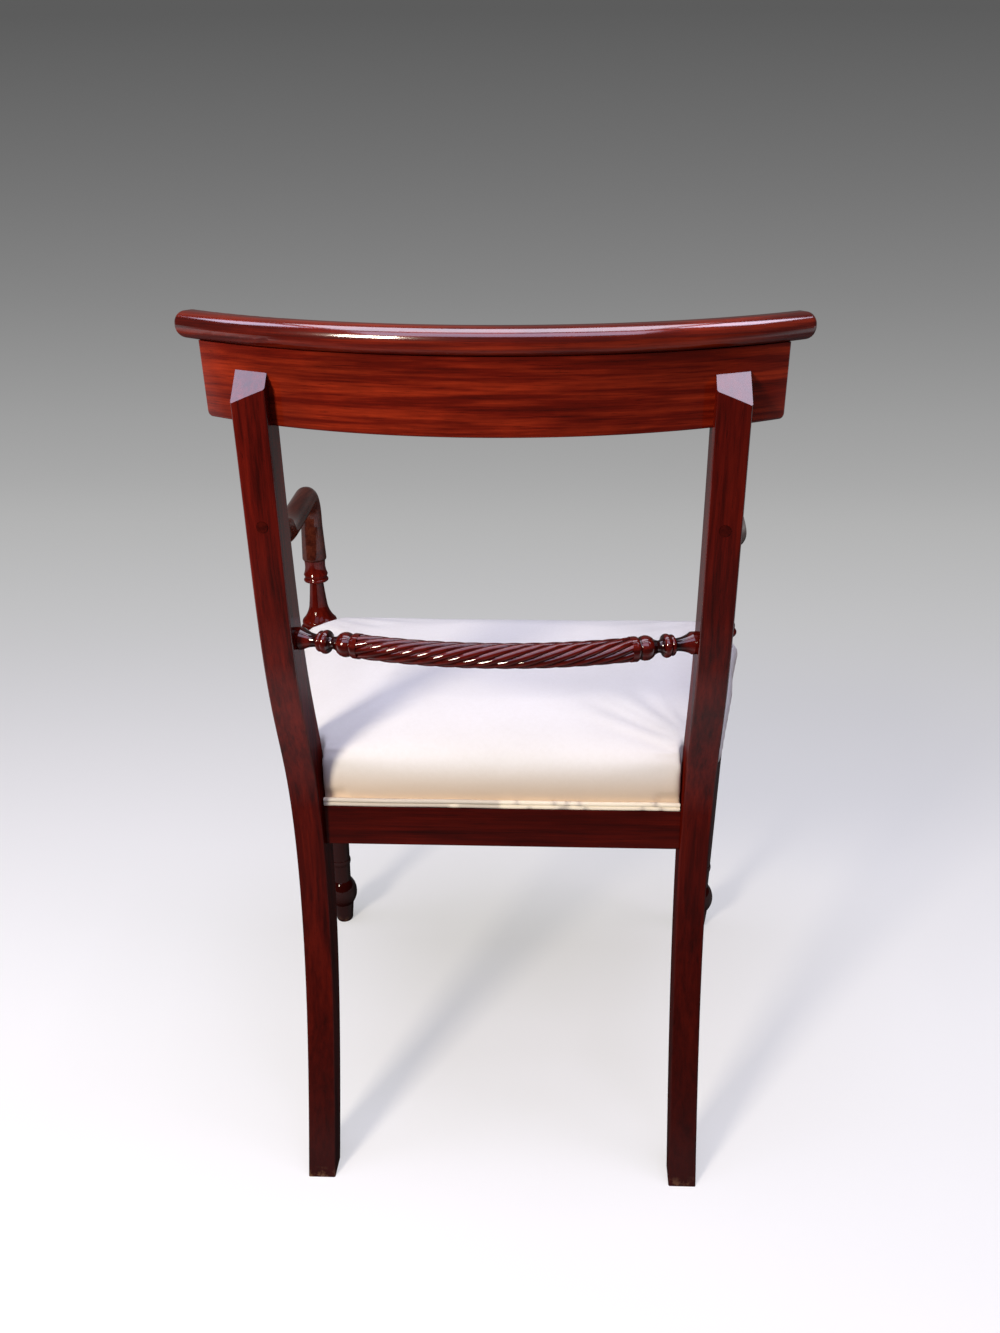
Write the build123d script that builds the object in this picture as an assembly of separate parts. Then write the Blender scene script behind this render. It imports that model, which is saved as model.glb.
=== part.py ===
from build123d import *
import math
import os

# An open armchair for a desk, in millimetres: sabre rear legs, a curved crest, a rope-carved rail,
# downswept arms on turned posts, and a padded seat. +Z is up, the chair faces -Y and +X is the sitter's
# left. It is laid out from the back plane, the rear face of the back posts at seat height, and is moved
# to the middle of its own outline at the end.

# Fits
fit_clearance = 0.15          # air round a tenon, pin, dowel or housing
cloth_clearance = 1.0         # air between the upholstery and the wood beside it

# Rear legs: height, sweep behind the back plane, and depth of the board from back to front
stile_spacing = 374.0
stile_width = 28.0
stile_ease = 1.6              # rounding of the long edges
foot_sweep, foot_depth = 76.5, 27.0
calf_z, calf_sweep, calf_depth = 150.0, 28.0, 31.5
knee_z, knee_depth = 345.0, 36.5
waist_z, waist_sweep, waist_depth = 440.0, 9.0, 38.5
lumbar_z, lumbar_sweep, lumbar_depth = 520.0, 31.0, 37.5
shoulder_z, shoulder_sweep, shoulder_depth = 660.0, 46.5, 33.0
stile_top_z, stile_top_sweep, stile_top_depth = 830.0, 53.5, 34.0

# Crest: a curved board that leans back, with a rolled moulding on top
crest_radius = 440.0          # back face
crest_sweep = 74.0            # back face at the middle of the lower edge
crest_drop = 60.5             # its lower edge, below the top of the stile boards
crest_width = 468.0
crest_height = 60.0
crest_thickness = 19.0
crest_lean = 3.0
crest_corner = 4.5            # rounding of the two lower corners
crest_ease = 1.4              # rounding of the edges
roll_width = 506.0
roll_height = 21.0
roll_depth = 26.0
roll_overhang = 6.0           # behind the crest's back face
roll_end_round = 7.0
stile_bevel_z = 41.0          # top of the bevelled stile end, above the crest's lower edge
stile_bevel_angle = 44.0
crest_dowel_diameter = 7.0
crest_dowel_length = 18.0
crest_dowel_in_panel = 10.0
crest_dowel_low = 12.0        # above the crest's lower edge
crest_dowel_pitch = 13.0

# Rope rail: turned ends on a bowed rope of spiral reeds
rope_z = 584.0
rope_end_sweep = 22.0         # where its ends enter the stiles
rope_radius = 395.0
rope_half_length = 115.0      # across the chair
rope_reeds = 9
rope_lead = 150.0
rope_end_diameter = 21.4
rope_mid_diameter = 22.0
rope_groove = 1.7
rope_twist_step = 14.0
rope_pin_diameter = 9.0
rope_pin_length = 11.0
turning_diameter = 21.0
turning_neck = 11.4
turning_flare = 19.3          # trumpet beside the stile
turning_ring = 10.8           # pair of beads
turning_vase = 18.6
turning_collar = 7.4          # beside the rope
turning_edge = 1.0            # small slopes between the turned forms

# Seat frame
rail_bottom_z = 354.0
rail_height = 42.0
rail_thickness = 24.0
rail_ease = 1.0               # rounding of the long edges
back_rail_setback = 8.0       # in front of the back plane
tenon_height = 28.0
tenon_thickness = 10.0
tenon_root = 4.0              # inside its own rail
back_tenon_length = 18.0
side_tenon_length = 10.0
front_tenon_length = 10.0
brace_height = 30.0
brace_width = 22.0
front_brace_reach = 62.0      # from the front leg's inner corner along each rail
rear_brace_reach = 46.0
brace_screw_length = 24.0
brace_screw_diameter = 4.0
brace_screw_head = 8.0

# Front legs
front_leg_spacing = 496.0
front_leg_reach = 364.0       # axis in front of the back plane
leg_block = 38.0
block_ease = 1.2              # rounding of the block's upright edges
front_foot_diameter = 22.5
foot_top_diameter = 27.4      # just under the ball
ball_diameter = 39.0
ball_bottom_z = 28.0
ball_top_z = 66.0
ankle_diameter = 24.4         # just above the ball
leg_upper_diameter = 36.5
leg_collar_diameter = 40.0
leg_collar_height = 16.0
foot_chamfer = 2.0
ankle_height = 26.0           # from the ball to the ankle ring
ankle_ring_height = 8.0
ankle_ring_stand = 0.6
leg_cove_height = 10.0        # under the collar
leg_cove_depth = 4.0
front_rail_setback = 2.0      # behind the front of the leg blocks

# Arm posts
post_plinth_diameter = 36.0
post_plinth_height = 44.0     # above the rails, hidden by the seat
post_height = 91.0            # from there to the arm
post_bell_diameter = 44.0
post_neck_diameter = 16.5
post_cup_diameter = 29.0
post_collar_diameter = 25.4
post_pin_diameter = 12.0
post_pin_length = 20.0
post_ring_height = 6.0        # under the bell
post_groove = 1.0
post_bell_height = 7.0
post_flare_height = 18.0      # trumpet above the bell
post_cup_height = 23.0
post_bead_height = 4.0
post_neck_run = 2.0

# Arms
arm_diameter = 25.4
arm_foot_diameter = 29.0
arm_foot_height = 44.0
arm_root_rise = 167.0         # axis at the stile, above the post
arm_root_depth = 4.0          # housing in the stile
arm_bow = 13.0                # outward, halfway along
arm_dip_rise = 121.0
arm_dip_reach = 64.0
arm_foot_round = 3.0
arm_flat_rise = 86.0
arm_flat_reach = 196.0
arm_top_rise = 96.5
arm_dip_radius = 240.0
arm_flat_radius = 330.0
arm_nose_radius = 30.0
arm_screw_drop = 7.0          # below the arm's axis at the stile
arm_screw_diameter = 4.6
arm_screw_head = 8.4
arm_screw_length = 42.0
plug_diameter = 9.4
plug_length = 5.0

# Seat
webbing_width = 50.0
webbing_thickness = 1.5
webbing_margin = 9.0          # from a rail's outer face to the end of a strap
webbing_pitch = 88.0
tack_head = 7.0
tack_head_height = 1.0
tack_shank = 1.8
tack_length = 9.0
tack_margin = 13.5            # from a rail's outer face
hessian_thickness = 1.0
hessian_margin = 19.0
cover_thickness = 1.5
cover_setback = 5.0           # its lower edge, inside the rails' outer faces
cushion_bulge = 12.0          # beyond its lower edge, at the sides and front
cushion_back_bulge = 3.0
cushion_side_height = 51.0    # from the rails to where the sides turn over into the crown
cushion_height = 73.0
cushion_steps = 6
crown_width = 92.0            # from the edge to the flat of the crown
cushion_corner = 26.0
post_notch_gap = 2.5
piping_diameter = 4.5
piping_lap = 0.4              # how far the two cords press into each other
piping_gap = 0.3              # between the cords and the cover

# Derived places
stile_x = stile_spacing / 2
stile_inner_x = stile_x - stile_width / 2
stile_outer_x = stile_x + stile_width / 2
rail_top_z = rail_bottom_z + rail_height
rail_mid_z = rail_bottom_z + rail_height / 2
leg_x = front_leg_spacing / 2
leg_inner_x = leg_x - leg_block / 2
leg_outer_x = leg_x + leg_block / 2
leg_y = -front_leg_reach
leg_back_y = leg_y + leg_block / 2
leg_front_y = leg_y - leg_block / 2
back_rail_y = -back_rail_setback
front_rail_y = leg_front_y + front_rail_setback
side_start = Vector(stile_outer_x, -knee_depth)
side_end = Vector(leg_outer_x, leg_back_y)
side_run = (side_end - side_start).normalized()
side_out = Vector(-side_run.Y, side_run.X)
crest_bottom_z = stile_top_z - crest_drop
post_base_z = rail_top_z + post_plinth_height
post_top_z = post_base_z + post_height
arm_root_z = post_top_z + arm_root_rise
arm_dip_z = post_top_z + arm_dip_rise
arm_flat_z = post_top_z + arm_flat_rise
arm_top_z = post_top_z + arm_top_rise
arm_screw_z = arm_root_z - arm_screw_drop
cushion_bottom_z = rail_top_z
cushion_shoulder_z = cushion_bottom_z + cushion_side_height
cushion_top_z = cushion_bottom_z + cushion_height
stuffing_bottom_z = rail_top_z + 2 * webbing_thickness + hessian_thickness

leg_stations = [
    (0.0, foot_sweep, foot_depth),
    (calf_z, calf_sweep, calf_depth),
    (knee_z, 0.0, knee_depth),
    (waist_z, waist_sweep, waist_depth),
    (lumbar_z, lumbar_sweep, lumbar_depth),
    (shoulder_z, shoulder_sweep, shoulder_depth),
    (stile_top_z, stile_top_sweep, stile_top_depth),
]


# Turned solid about Z from (height, radius) steps, bottom to top; a third value swells that step outward
def turned(steps):
    edges = [Line((0, steps[0][0]), (steps[0][1], steps[0][0]))]
    for low, high in zip(steps, steps[1:]):
        start = Vector(low[1], low[0])
        end = Vector(high[1], high[0])
        if len(high) == 3:
            run = end - start
            outward = Vector(run.Y, -run.X).normalized()
            edges.append(ThreePointArc(start, (start + end) / 2 + outward * high[2], end))
        else:
            edges.append(Line(start, end))
    edges.append(Line((steps[-1][1], steps[-1][0]), (0, steps[-1][0])))
    edges.append(Line((0, steps[-1][0]), (0, steps[0][0])))
    return revolve(Plane.XZ * make_face(edges), Axis.Z)


# Upright prism on a plan outline
def prism(points, bottom, top):
    outline = make_face(Polyline(*points, close=True))
    return Pos(0, 0, bottom) * extrude(outline, top - bottom)


# Rod along a direction from a start point
def rod(start, direction, diameter, length):
    place = Plane(origin=start, z_dir=direction)
    return place * Pos(0, 0, length / 2) * Cylinder(diameter / 2, length)


# Countersunk wood screw: the head starts at the point and the shank runs along the direction
def screw(start, direction, head, diameter, length):
    half = diameter / 2
    head_height = (head - diameter) / 2
    shape = turned([(0, head / 2), (head_height, half), (length - diameter, half), (length, half * 0.2)])
    return Plane(origin=start, z_dir=direction) * shape


# Room for such a screw, with its head sunk below the surface
def screw_room(start, direction, head, diameter, length, sink):
    shank = rod(start, direction, diameter + 2 * fit_clearance, length + fit_clearance)
    mouth = start - Vector(*direction).normalized() * sink
    return shank + rod(mouth, direction, head + 2 * fit_clearance, sink + (head - diameter) / 2)


def mirrored(shape):
    return mirror(shape, about=Plane.YZ)


# Rear leg and back post as one sawn board
def rear_leg_blank():
    back = Spline(*[(sweep, z) for z, sweep, depth in leg_stations])
    front = Spline(*[(sweep - depth, z) for z, sweep, depth in leg_stations])
    outline = make_face([back, front, Line(back @ 0, front @ 0), Line(back @ 1, front @ 1)])
    board = Pos(stile_inner_x, 0, 0) * extrude(Plane.YZ * outline, stile_width)
    return fillet([edge for edge in board.edges() if edge.length > knee_z], stile_ease)


# Crest pieces turn about one upright axis in front of the chair, then lean back together
crest_place = Pos(0, crest_sweep, crest_bottom_z) * Rot(X=-crest_lean) * Pos(0, -crest_radius, 0)


def crest_ring(section, half_width):
    half_angle = math.degrees(math.asin(half_width / crest_radius))
    ring = revolve(Plane.XZ * section, Axis.Z, revolution_arc=2 * half_angle)
    return Rot(Z=90 - half_angle) * ring


def crest_panel_shape():
    section = Rectangle(crest_thickness, crest_height)
    section = Pos(crest_radius - crest_thickness / 2, crest_height / 2) * section
    panel = crest_ring(section, crest_width / 2)
    corners = panel.edges().filter_by(lambda e: abs(e.length - crest_thickness) < 0.01).group_by(Axis.Z)[0]
    panel = fillet(corners, crest_corner)
    back_low = panel.edges().group_by(Axis.Z)[0].sort_by(SortBy.LENGTH)[-2:]
    return crest_place * fillet(back_low, crest_ease)


def crest_roll_shape():
    middle_r = crest_radius + roll_overhang - roll_depth / 2
    section = Pos(middle_r, crest_height + roll_height / 2)
    section = section * RectangleRounded(roll_depth, roll_height, roll_height * 0.47)
    roll = crest_ring(section, roll_width / 2)
    ends = roll.faces().sort_by(Axis.X)
    return crest_place * fillet(ends[0].edges() + ends[-1].edges(), roll_end_round)


# What the crest and its bevel take off the top of a stile
def stile_head_cut():
    wide = stile_outer_x * 1.2
    far = crest_radius / 2
    low = -fit_clearance
    face_r = crest_radius + fit_clearance
    room = Pos(face_r - far / 2, low + far / 2) * Rectangle(far, far)
    drop = far * math.tan(math.radians(stile_bevel_angle))
    inside_r = face_r - crest_thickness / 2
    bevel = Polyline((inside_r, stile_bevel_z), (face_r, stile_bevel_z), (face_r + far, stile_bevel_z - drop),
                     (face_r + far, far), (inside_r, far), close=True)
    return crest_place * (crest_ring(room, wide) + crest_ring(make_face(bevel), wide))


# Dowels stand square to the crest's back face, halfway across a stile
def crest_dowel_axis(level):
    angle = math.asin(stile_x / crest_radius)
    spots = []
    for depth in (crest_radius - crest_dowel_in_panel, crest_radius):
        spot = Pos(depth * math.sin(angle), depth * math.cos(angle), crest_dowel_low + level)
        spots.append((crest_place * spot).position)
    return spots[0], spots[1] - spots[0]


# Rope rail axis: an arc through the rope, then straight along its tangent into the stiles
rope_angle = math.asin(rope_half_length / rope_radius)
rope_straight = (stile_inner_x - rope_half_length) / math.cos(rope_angle)
rope_bow = rope_radius * (1 - math.cos(rope_angle)) + rope_straight * math.sin(rope_angle)
rope_mid_sweep = rope_end_sweep + rope_bow


def rope_station(angle):
    y = rope_mid_sweep - rope_radius * (1 - math.cos(angle))
    origin = Vector(-rope_radius * math.sin(angle), y, rope_z)
    along = Vector(-math.cos(angle), -math.sin(angle), 0)
    return Plane(origin=origin, x_dir=(0, 0, 1), z_dir=along)


# One cross-section of the rope: round reeds that meet in grooves, turned by the twist
def rope_section(share):
    angle = rope_angle * (2 * share - 1)
    swell = 1 - (2 * share - 1) ** 2
    outer = (rope_end_diameter + (rope_mid_diameter - rope_end_diameter) * swell) / 2
    twist = 2 * math.pi * share * 2 * rope_radius * rope_angle / rope_lead
    pitch = 2 * math.pi / rope_reeds
    arcs = []
    for reed in range(rope_reeds):
        rays = [-(twist + pitch * (reed + part)) for part in (0, 0.5, 1)]
        radii = (outer - rope_groove, outer, outer - rope_groove)
        arcs.append(ThreePointArc(*[(r * math.cos(a), r * math.sin(a)) for r, a in zip(radii, rays)]))
    return rope_station(angle) * make_face(arcs)


# Turned end of the rope rail, from the stile inward along its own axis
def rope_end():
    big = turning_diameter / 2
    neck = turning_neck / 2
    spare = rope_straight - turning_flare - turning_ring - turning_vase - turning_collar
    ring_start = turning_flare + spare * 0.35
    ring_split = ring_start + turning_ring * 0.36
    ring_end = ring_start + turning_ring
    vase_end = rope_straight - turning_collar
    vase_start = vase_end - turning_vase
    vase_foot = vase_start + turning_vase * 0.28
    return turned([
        (-big, big * 0.94), (0, big * 0.94), (turning_flare * 0.25, big * 0.95, 0.1),
        (turning_flare, neck, -1.1), (ring_start, neck),
        (ring_start, big * 0.78), (ring_split, big * 0.78, 1.2),
        (ring_split, big * 0.88), (ring_end - turning_edge, big * 0.88, 1.3), (ring_end, big * 0.7),
        (vase_start, neck * 0.96, -0.5),
        (vase_foot, big * 0.72, -0.5), (vase_end - turning_edge, big * 0.88, 2.5), (vase_end, big * 0.84),
        (vase_end, big * 0.92), (vase_end + turning_collar / 2, big * 1.06, 0.5),
        (rope_straight, big * 1.06),
    ])


def rope_end_place(side):
    start = Vector(side * stile_inner_x, rope_end_sweep, rope_z)
    inward = Vector(-side * math.cos(rope_angle), math.sin(rope_angle), 0)
    return Plane(origin=start, z_dir=inward)


def rope_rail_shape():
    twist = math.degrees(2 * math.pi * 2 * rope_radius * rope_angle / rope_lead)
    steps = math.ceil(twist / rope_twist_step)
    rail = loft([rope_section(step / steps) for step in range(steps + 1)])
    room = Box(2 * stile_inner_x, crest_radius, turning_diameter * 2)
    for side in (1, -1):
        place = rope_end_place(side)
        rail += (place * rope_end()) & (Pos(0, rope_end_sweep, rope_z) * room)
        rail += rod(place.origin + place.z_dir * tenon_root, -place.z_dir, rope_pin_diameter,
                    tenon_root + rope_pin_length)
    return rail


# Turned front leg with a square block at seat height
def front_leg_shape():
    foot = front_foot_diameter / 2
    foot_top = foot_top_diameter / 2
    ankle = ankle_diameter / 2
    ball = ball_diameter / 2
    upper = leg_upper_diameter / 2
    collar = leg_collar_diameter / 2 - foot_chamfer
    cove = upper - leg_cove_depth
    ankle_z = ball_top_z + ankle_height
    ring_z = ankle_z + ankle_ring_height
    collar_z = rail_bottom_z - leg_collar_height
    collar_top_z = collar_z + leg_collar_height / 2
    taper_top_z = collar_z - leg_cove_height
    taper = (upper - ankle) / (taper_top_z - ball_top_z)
    ring_low = ankle + taper * (ankle_z - ball_top_z)
    ring_high = ankle + taper * (ring_z - ball_top_z)
    leg = turned([
        (0, foot * 0.92), (foot_chamfer, foot), (ball_bottom_z, foot_top),
        (ball_top_z, ankle, ball - (foot_top + ankle) / 2), (ankle_z, ring_low),
        (ankle_z, ring_low + ankle_ring_stand), (ring_z, ring_high + ankle_ring_stand, ankle_ring_stand),
        (ring_z, ring_high), (taper_top_z, upper),
        (collar_z - leg_cove_height * 0.3, cove, -1), (collar_z, cove),
        (collar_z, collar), (collar_top_z, collar, foot_chamfer),
        (collar_top_z, cove * 1.07), (rail_bottom_z, cove * 1.07),
    ])
    block = Pos(0, 0, rail_mid_z) * Box(leg_block, leg_block, rail_height)
    block = fillet(block.edges().filter_by(Axis.Z), block_ease)
    return Pos(leg_x, leg_y, 0) * (leg + block)


# Turned arm post: hidden plinth, bell, trumpet neck, ringed cup and a pin at each end
def arm_post_shape():
    plinth = post_plinth_diameter / 2
    bell = post_bell_diameter / 2
    neck = post_neck_diameter / 2
    cup = post_cup_diameter / 2
    collar = post_collar_diameter / 2
    ring_z = post_base_z + post_ring_height
    bell_z = ring_z + post_groove + post_bell_height
    cup_z = post_top_z - post_cup_height
    bead_z = cup_z - post_bead_height
    post = turned([
        (rail_top_z, plinth), (post_base_z, plinth), (post_base_z, bell), (ring_z, bell, 1.6),
        (ring_z + post_groove, bell * 0.9), (bell_z, bell * 0.93, 1.0),
        (bell_z + post_flare_height, neck * 1.36, -1.5), (bead_z - post_neck_run, neck, -0.2), (bead_z, neck),
        (bead_z, cup * 0.93), (cup_z, cup * 0.93, 1.4), (cup_z + post_groove, cup * 0.9),
        (cup_z + post_groove + post_bead_height, cup),
        (post_top_z - post_bead_height, collar * 0.97, -0.9), (post_top_z, collar),
    ])
    pin = Cylinder(post_pin_diameter / 2, post_pin_length)
    foot_pin = Pos(0, 0, rail_top_z - post_pin_length / 2) * pin
    head_pin = Pos(0, 0, post_top_z + post_pin_length / 2) * pin
    return Pos(leg_x, leg_y, 0) * (post + foot_pin + head_pin)


# Arm axis from the housing in the stile to the top of the post
def arm_route():
    axis_top_z = arm_top_z - arm_diameter / 2
    root_y = shoulder_sweep - shoulder_depth + arm_root_depth
    dip_share = (arm_dip_reach + root_y) / (front_leg_reach + root_y)
    flat_share = (arm_flat_reach + root_y) / (front_leg_reach + root_y)
    flare = leg_x - stile_x
    return [
        Vector(stile_x, root_y, arm_root_z),
        Vector(stile_x + flare * dip_share + arm_bow * 0.5, -arm_dip_reach, arm_dip_z),
        Vector(stile_x + flare * flat_share + arm_bow, -arm_flat_reach, arm_flat_z),
        Vector(leg_x, leg_y, axis_top_z),
        Vector(leg_x, leg_y, post_top_z + arm_foot_height),
    ]


def arm_shape():
    points = arm_route()
    path = FilletPolyline(*points, radius=[arm_dip_radius, arm_flat_radius, arm_nose_radius])
    tube = sweep(Plane(origin=path @ 0, z_dir=path % 0) * Circle(arm_diameter / 2), path=path)
    foot_r = arm_foot_diameter / 2
    foot = turned([
        (post_top_z, foot_r - arm_foot_round / 2), (post_top_z + arm_foot_round, foot_r, 0.4),
        (post_top_z + arm_foot_height, arm_diameter / 2),
    ])
    arm = tube + Pos(leg_x, leg_y, 0) * foot
    socket_length = post_pin_length + fit_clearance
    socket = Cylinder(post_pin_diameter / 2 + fit_clearance, socket_length)
    return arm - Pos(leg_x, leg_y, post_top_z + socket_length / 2) * socket


# Housing for the arm in the front of a stile
def arm_housing():
    points = arm_route()
    run = (points[1] - points[0]).normalized()
    return rod(points[0], run, arm_diameter + 2 * fit_clearance, stile_width * 2)


# Screw through a back post into the arm, sunk under a plug
plug_back_y = shoulder_sweep + (stile_top_sweep - shoulder_sweep) * (arm_screw_z - shoulder_z) / (
    stile_top_z - shoulder_z)
arm_screw_start = Vector(stile_x, plug_back_y - plug_length, arm_screw_z)


def arm_screw_shape():
    return screw(arm_screw_start, (0, -1, 0), arm_screw_head, arm_screw_diameter, arm_screw_length)


def arm_screw_room():
    return screw_room(arm_screw_start, (0, -1, 0), arm_screw_head, arm_screw_diameter, arm_screw_length, 0.1)


def arm_plug_shape():
    return rod(arm_screw_start, (0, 1, 0), plug_diameter, plug_length + 0.4)


def arm_plug_room():
    return rod(arm_screw_start, (0, 1, 0), plug_diameter + 2 * fit_clearance, plug_length * 3)


# Tenon as a box that starts inside its rail, passes the shoulder and runs along a level direction
def tenon(shoulder, direction, length, spare):
    place = Plane(origin=(shoulder.X, shoulder.Y, rail_mid_z), x_dir=direction, z_dir=(0, 0, 1))
    size = (tenon_root + length + spare, tenon_thickness + 2 * spare, tenon_height + 2 * spare)
    return place * Pos((length + spare - tenon_root) / 2, 0, 0) * Box(*size)


# Outer and inner faces of a side rail at a distance from the back plane
def side_outer_x(y):
    return side_start.X + side_run.X / side_run.Y * (y - side_start.Y)


def side_inner_x(y):
    return side_outer_x(y) - rail_thickness / side_out.X


def side_middle(y):
    return Vector((side_outer_x(y) + side_inner_x(y)) / 2, y)


back_tenon_start = Vector(stile_inner_x, back_rail_y - rail_thickness / 2)
front_tenon_start = Vector(leg_inner_x, front_rail_y + rail_thickness / 2)
side_rear_tenon_start = side_middle(side_start.Y)
side_front_tenon_start = side_middle(side_end.Y)


def back_tenon(spare=0.0):
    return tenon(back_tenon_start, (1, 0, 0), back_tenon_length, spare)


def front_tenon(spare=0.0):
    return tenon(front_tenon_start, (1, 0, 0), front_tenon_length, spare)


def side_rear_tenon(spare=0.0):
    return tenon(side_rear_tenon_start, (0, 1, 0), side_tenon_length, spare)


def side_front_tenon(spare=0.0):
    return tenon(side_front_tenon_start, (0, -1, 0), side_tenon_length, spare)


def cross_rail(outer_y, inner_y, half_length, one_tenon):
    middle = Pos(0, (outer_y + inner_y) / 2, rail_mid_z)
    bar = middle * Box(2 * half_length, abs(outer_y - inner_y), rail_height)
    bar = fillet(bar.edges().filter_by(Axis.X), rail_ease)
    return bar + one_tenon + mirrored(one_tenon)


def side_rail_shape(leg_blank):
    front_y = leg_back_y
    rear_y = side_start.Y + rail_thickness / 2
    plan = [(side_outer_x(front_y), front_y), (side_outer_x(rear_y), rear_y),
            (side_inner_x(rear_y), rear_y), (side_inner_x(front_y), front_y)]
    bar = prism(plan, rail_bottom_z, rail_top_z)
    bar = fillet([edge for edge in bar.edges() if edge.length > leg_block * 2], rail_ease) - leg_blank
    return bar.solids().sort_by(Axis.Y)[0] + side_rear_tenon() + side_front_tenon()


# Diagonal brace across a corner of the seat frame, from a cross rail to a side rail
def corner_brace_plan(rail_y, corner_x, direction, reach):
    near_x = corner_x - reach
    far_x = near_x - brace_width * 1.3
    near_y = rail_y + direction * reach
    far_y = near_y + direction * brace_width * 1.5
    return [(near_x, rail_y), (far_x, rail_y), (side_inner_x(far_y), far_y), (side_inner_x(near_y), near_y)]


def brace_screw_lines(plan, direction):
    near, far, side_far, side_near = [Vector(*p) for p in plan]
    cross = (near + far) / 2 + Vector(0, direction * brace_screw_length * 0.42, rail_mid_z)
    beside = (side_far + side_near) / 2 - side_out * (brace_screw_length * 0.42) + Vector(0, 0, rail_mid_z)
    return [(cross, Vector(0, -direction, 0)), (beside, side_out)]


def brace_screw_shape(line):
    return screw(*line, brace_screw_head, brace_screw_diameter, brace_screw_length)


def brace_screw_room(line):
    return screw_room(*line, brace_screw_head, brace_screw_diameter, brace_screw_length, rail_thickness)


# Seat outline at one level: straight sides and rounded corners, inset from the rails' outer faces
def seat_outline(back, side, front, corner):
    rear_y = back_rail_y - back
    front_y = front_rail_y + front
    rear_x = side_outer_x(rear_y) - side / side_out.X
    front_x = side_outer_x(front_y) - side / side_out.X
    plan = [(front_x, front_y), (rear_x, rear_y), (-rear_x, rear_y), (-front_x, front_y)]
    face = make_face(Polyline(*plan, close=True))
    return fillet(face.vertices(), corner)


# Half section of the padded seat: height, share of the bulge, and distance in from its lower edge
def cushion_levels(skin):
    band_z = cushion_bottom_z + 2 * piping_diameter
    side_rise = cushion_shoulder_z - skin - band_z
    crown_rise = cushion_top_z - cushion_shoulder_z
    levels = [(cushion_bottom_z, 0.0, 0.0)]
    for step in range(cushion_steps):
        share = step / cushion_steps
        levels.append((band_z + side_rise * share, math.sin(math.pi * share), 0.0))
    for step in range(cushion_steps):
        share = step / (cushion_steps - 1)
        rise = crown_rise * (1 - (1 - share) ** 2)
        levels.append((cushion_shoulder_z - skin + rise, 0.0, crown_width * share ** 1.6))
    return levels


# Padded seat: drawn in above the piping, swollen at the sides, crowned on top
def cushion(skin):
    sections = []
    for z, swell, inset in cushion_levels(skin):
        edge = cover_setback + skin + inset
        side = edge - cushion_bulge * swell
        outline = seat_outline(edge - cushion_back_bulge * swell, side, side, cushion_corner)
        sections.append(Pos(0, 0, z) * outline)
    return loft(sections, ruled=True) - seat_notches(skin)


# Room for the back posts and the arm posts in the padded seat
def seat_notches(skin):
    gap = cloth_clearance + skin
    high = cushion_top_z + gap
    stile_room = prism([(stile_inner_x - gap, -knee_depth - gap), (stile_inner_x - gap, stile_width),
                        (leg_outer_x, stile_width), (leg_outer_x, -knee_depth - gap)], rail_bottom_z, high)
    post_r = post_bell_diameter / 2 + post_notch_gap + skin
    post_room = Pos(leg_x, leg_y, (rail_top_z + high) / 2) * Cylinder(post_r, high - rail_bottom_z)
    reach = leg_block + cushion_bulge * 2
    corner_plan = [(leg_x - post_r, leg_y), (leg_x, leg_y + post_r), (leg_x + reach, leg_y + post_r),
                   (leg_x + reach, leg_y - reach), (leg_x - post_r, leg_y - reach)]
    corner_room = prism(corner_plan, rail_bottom_z, high)
    rooms = [stile_room, post_room, corner_room]
    return [room for one in rooms for room in (one, mirrored(one))]


def seat_stuffing_shape():
    core = cushion(cover_thickness + fit_clearance)
    return split(core, Plane(origin=(0, 0, stuffing_bottom_z), z_dir=(0, 0, 1)), keep=Keep.TOP)


# Webbing straps from one rail's top to the other's, and the spots of their tacks, by the strap's place
webbing_steps = (-webbing_pitch, 0.0, webbing_pitch)
webbing_half = webbing_width / 2
tack_half = webbing_width * 0.3
lengthwise_top_z = rail_top_z + webbing_thickness
crosswise_top_z = rail_top_z + 2 * webbing_thickness
seat_middle_y = (back_rail_y + front_rail_y) / 2


def lengthwise_strap(x):
    length = back_rail_y - front_rail_y - 2 * webbing_margin
    strap = Box(webbing_width, length, webbing_thickness)
    return Pos(x, seat_middle_y, rail_top_z + webbing_thickness / 2) * strap


def crosswise_strap(y):
    rear = (side_outer_x(y + webbing_half) - webbing_margin, y + webbing_half)
    front = (side_outer_x(y - webbing_half) - webbing_margin, y - webbing_half)
    plan = [rear, front, (-front[0], front[1]), (-rear[0], rear[1])]
    return prism(plan, lengthwise_top_z, crosswise_top_z)


def tack_spots():
    spots = []
    for step in webbing_steps:
        for offset in (-tack_half, tack_half):
            x = step + offset
            spots.append((x, back_rail_y - tack_margin, lengthwise_top_z))
            spots.append((x, front_rail_y + tack_margin, lengthwise_top_z))
            y = seat_middle_y + step + offset
            spots.append((side_outer_x(y) - tack_margin, y, crosswise_top_z))
            spots.append((tack_margin - side_outer_x(y), y, crosswise_top_z))
    return spots


def tack(x, y, level):
    head = turned([(0, tack_head / 2), (tack_head_height, tack_head / 2 * 0.6)])
    shank = Pos(0, 0, -tack_length / 2) * Cylinder(tack_shank / 2, tack_length)
    return Pos(x, y, level) * (head + shank)


def tack_room(x, y, level):
    room = Cylinder(tack_shank / 2 + fit_clearance, tack_length * 2 + webbing_thickness * 2)
    return Pos(x, y, level - tack_length + webbing_thickness) * room


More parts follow.
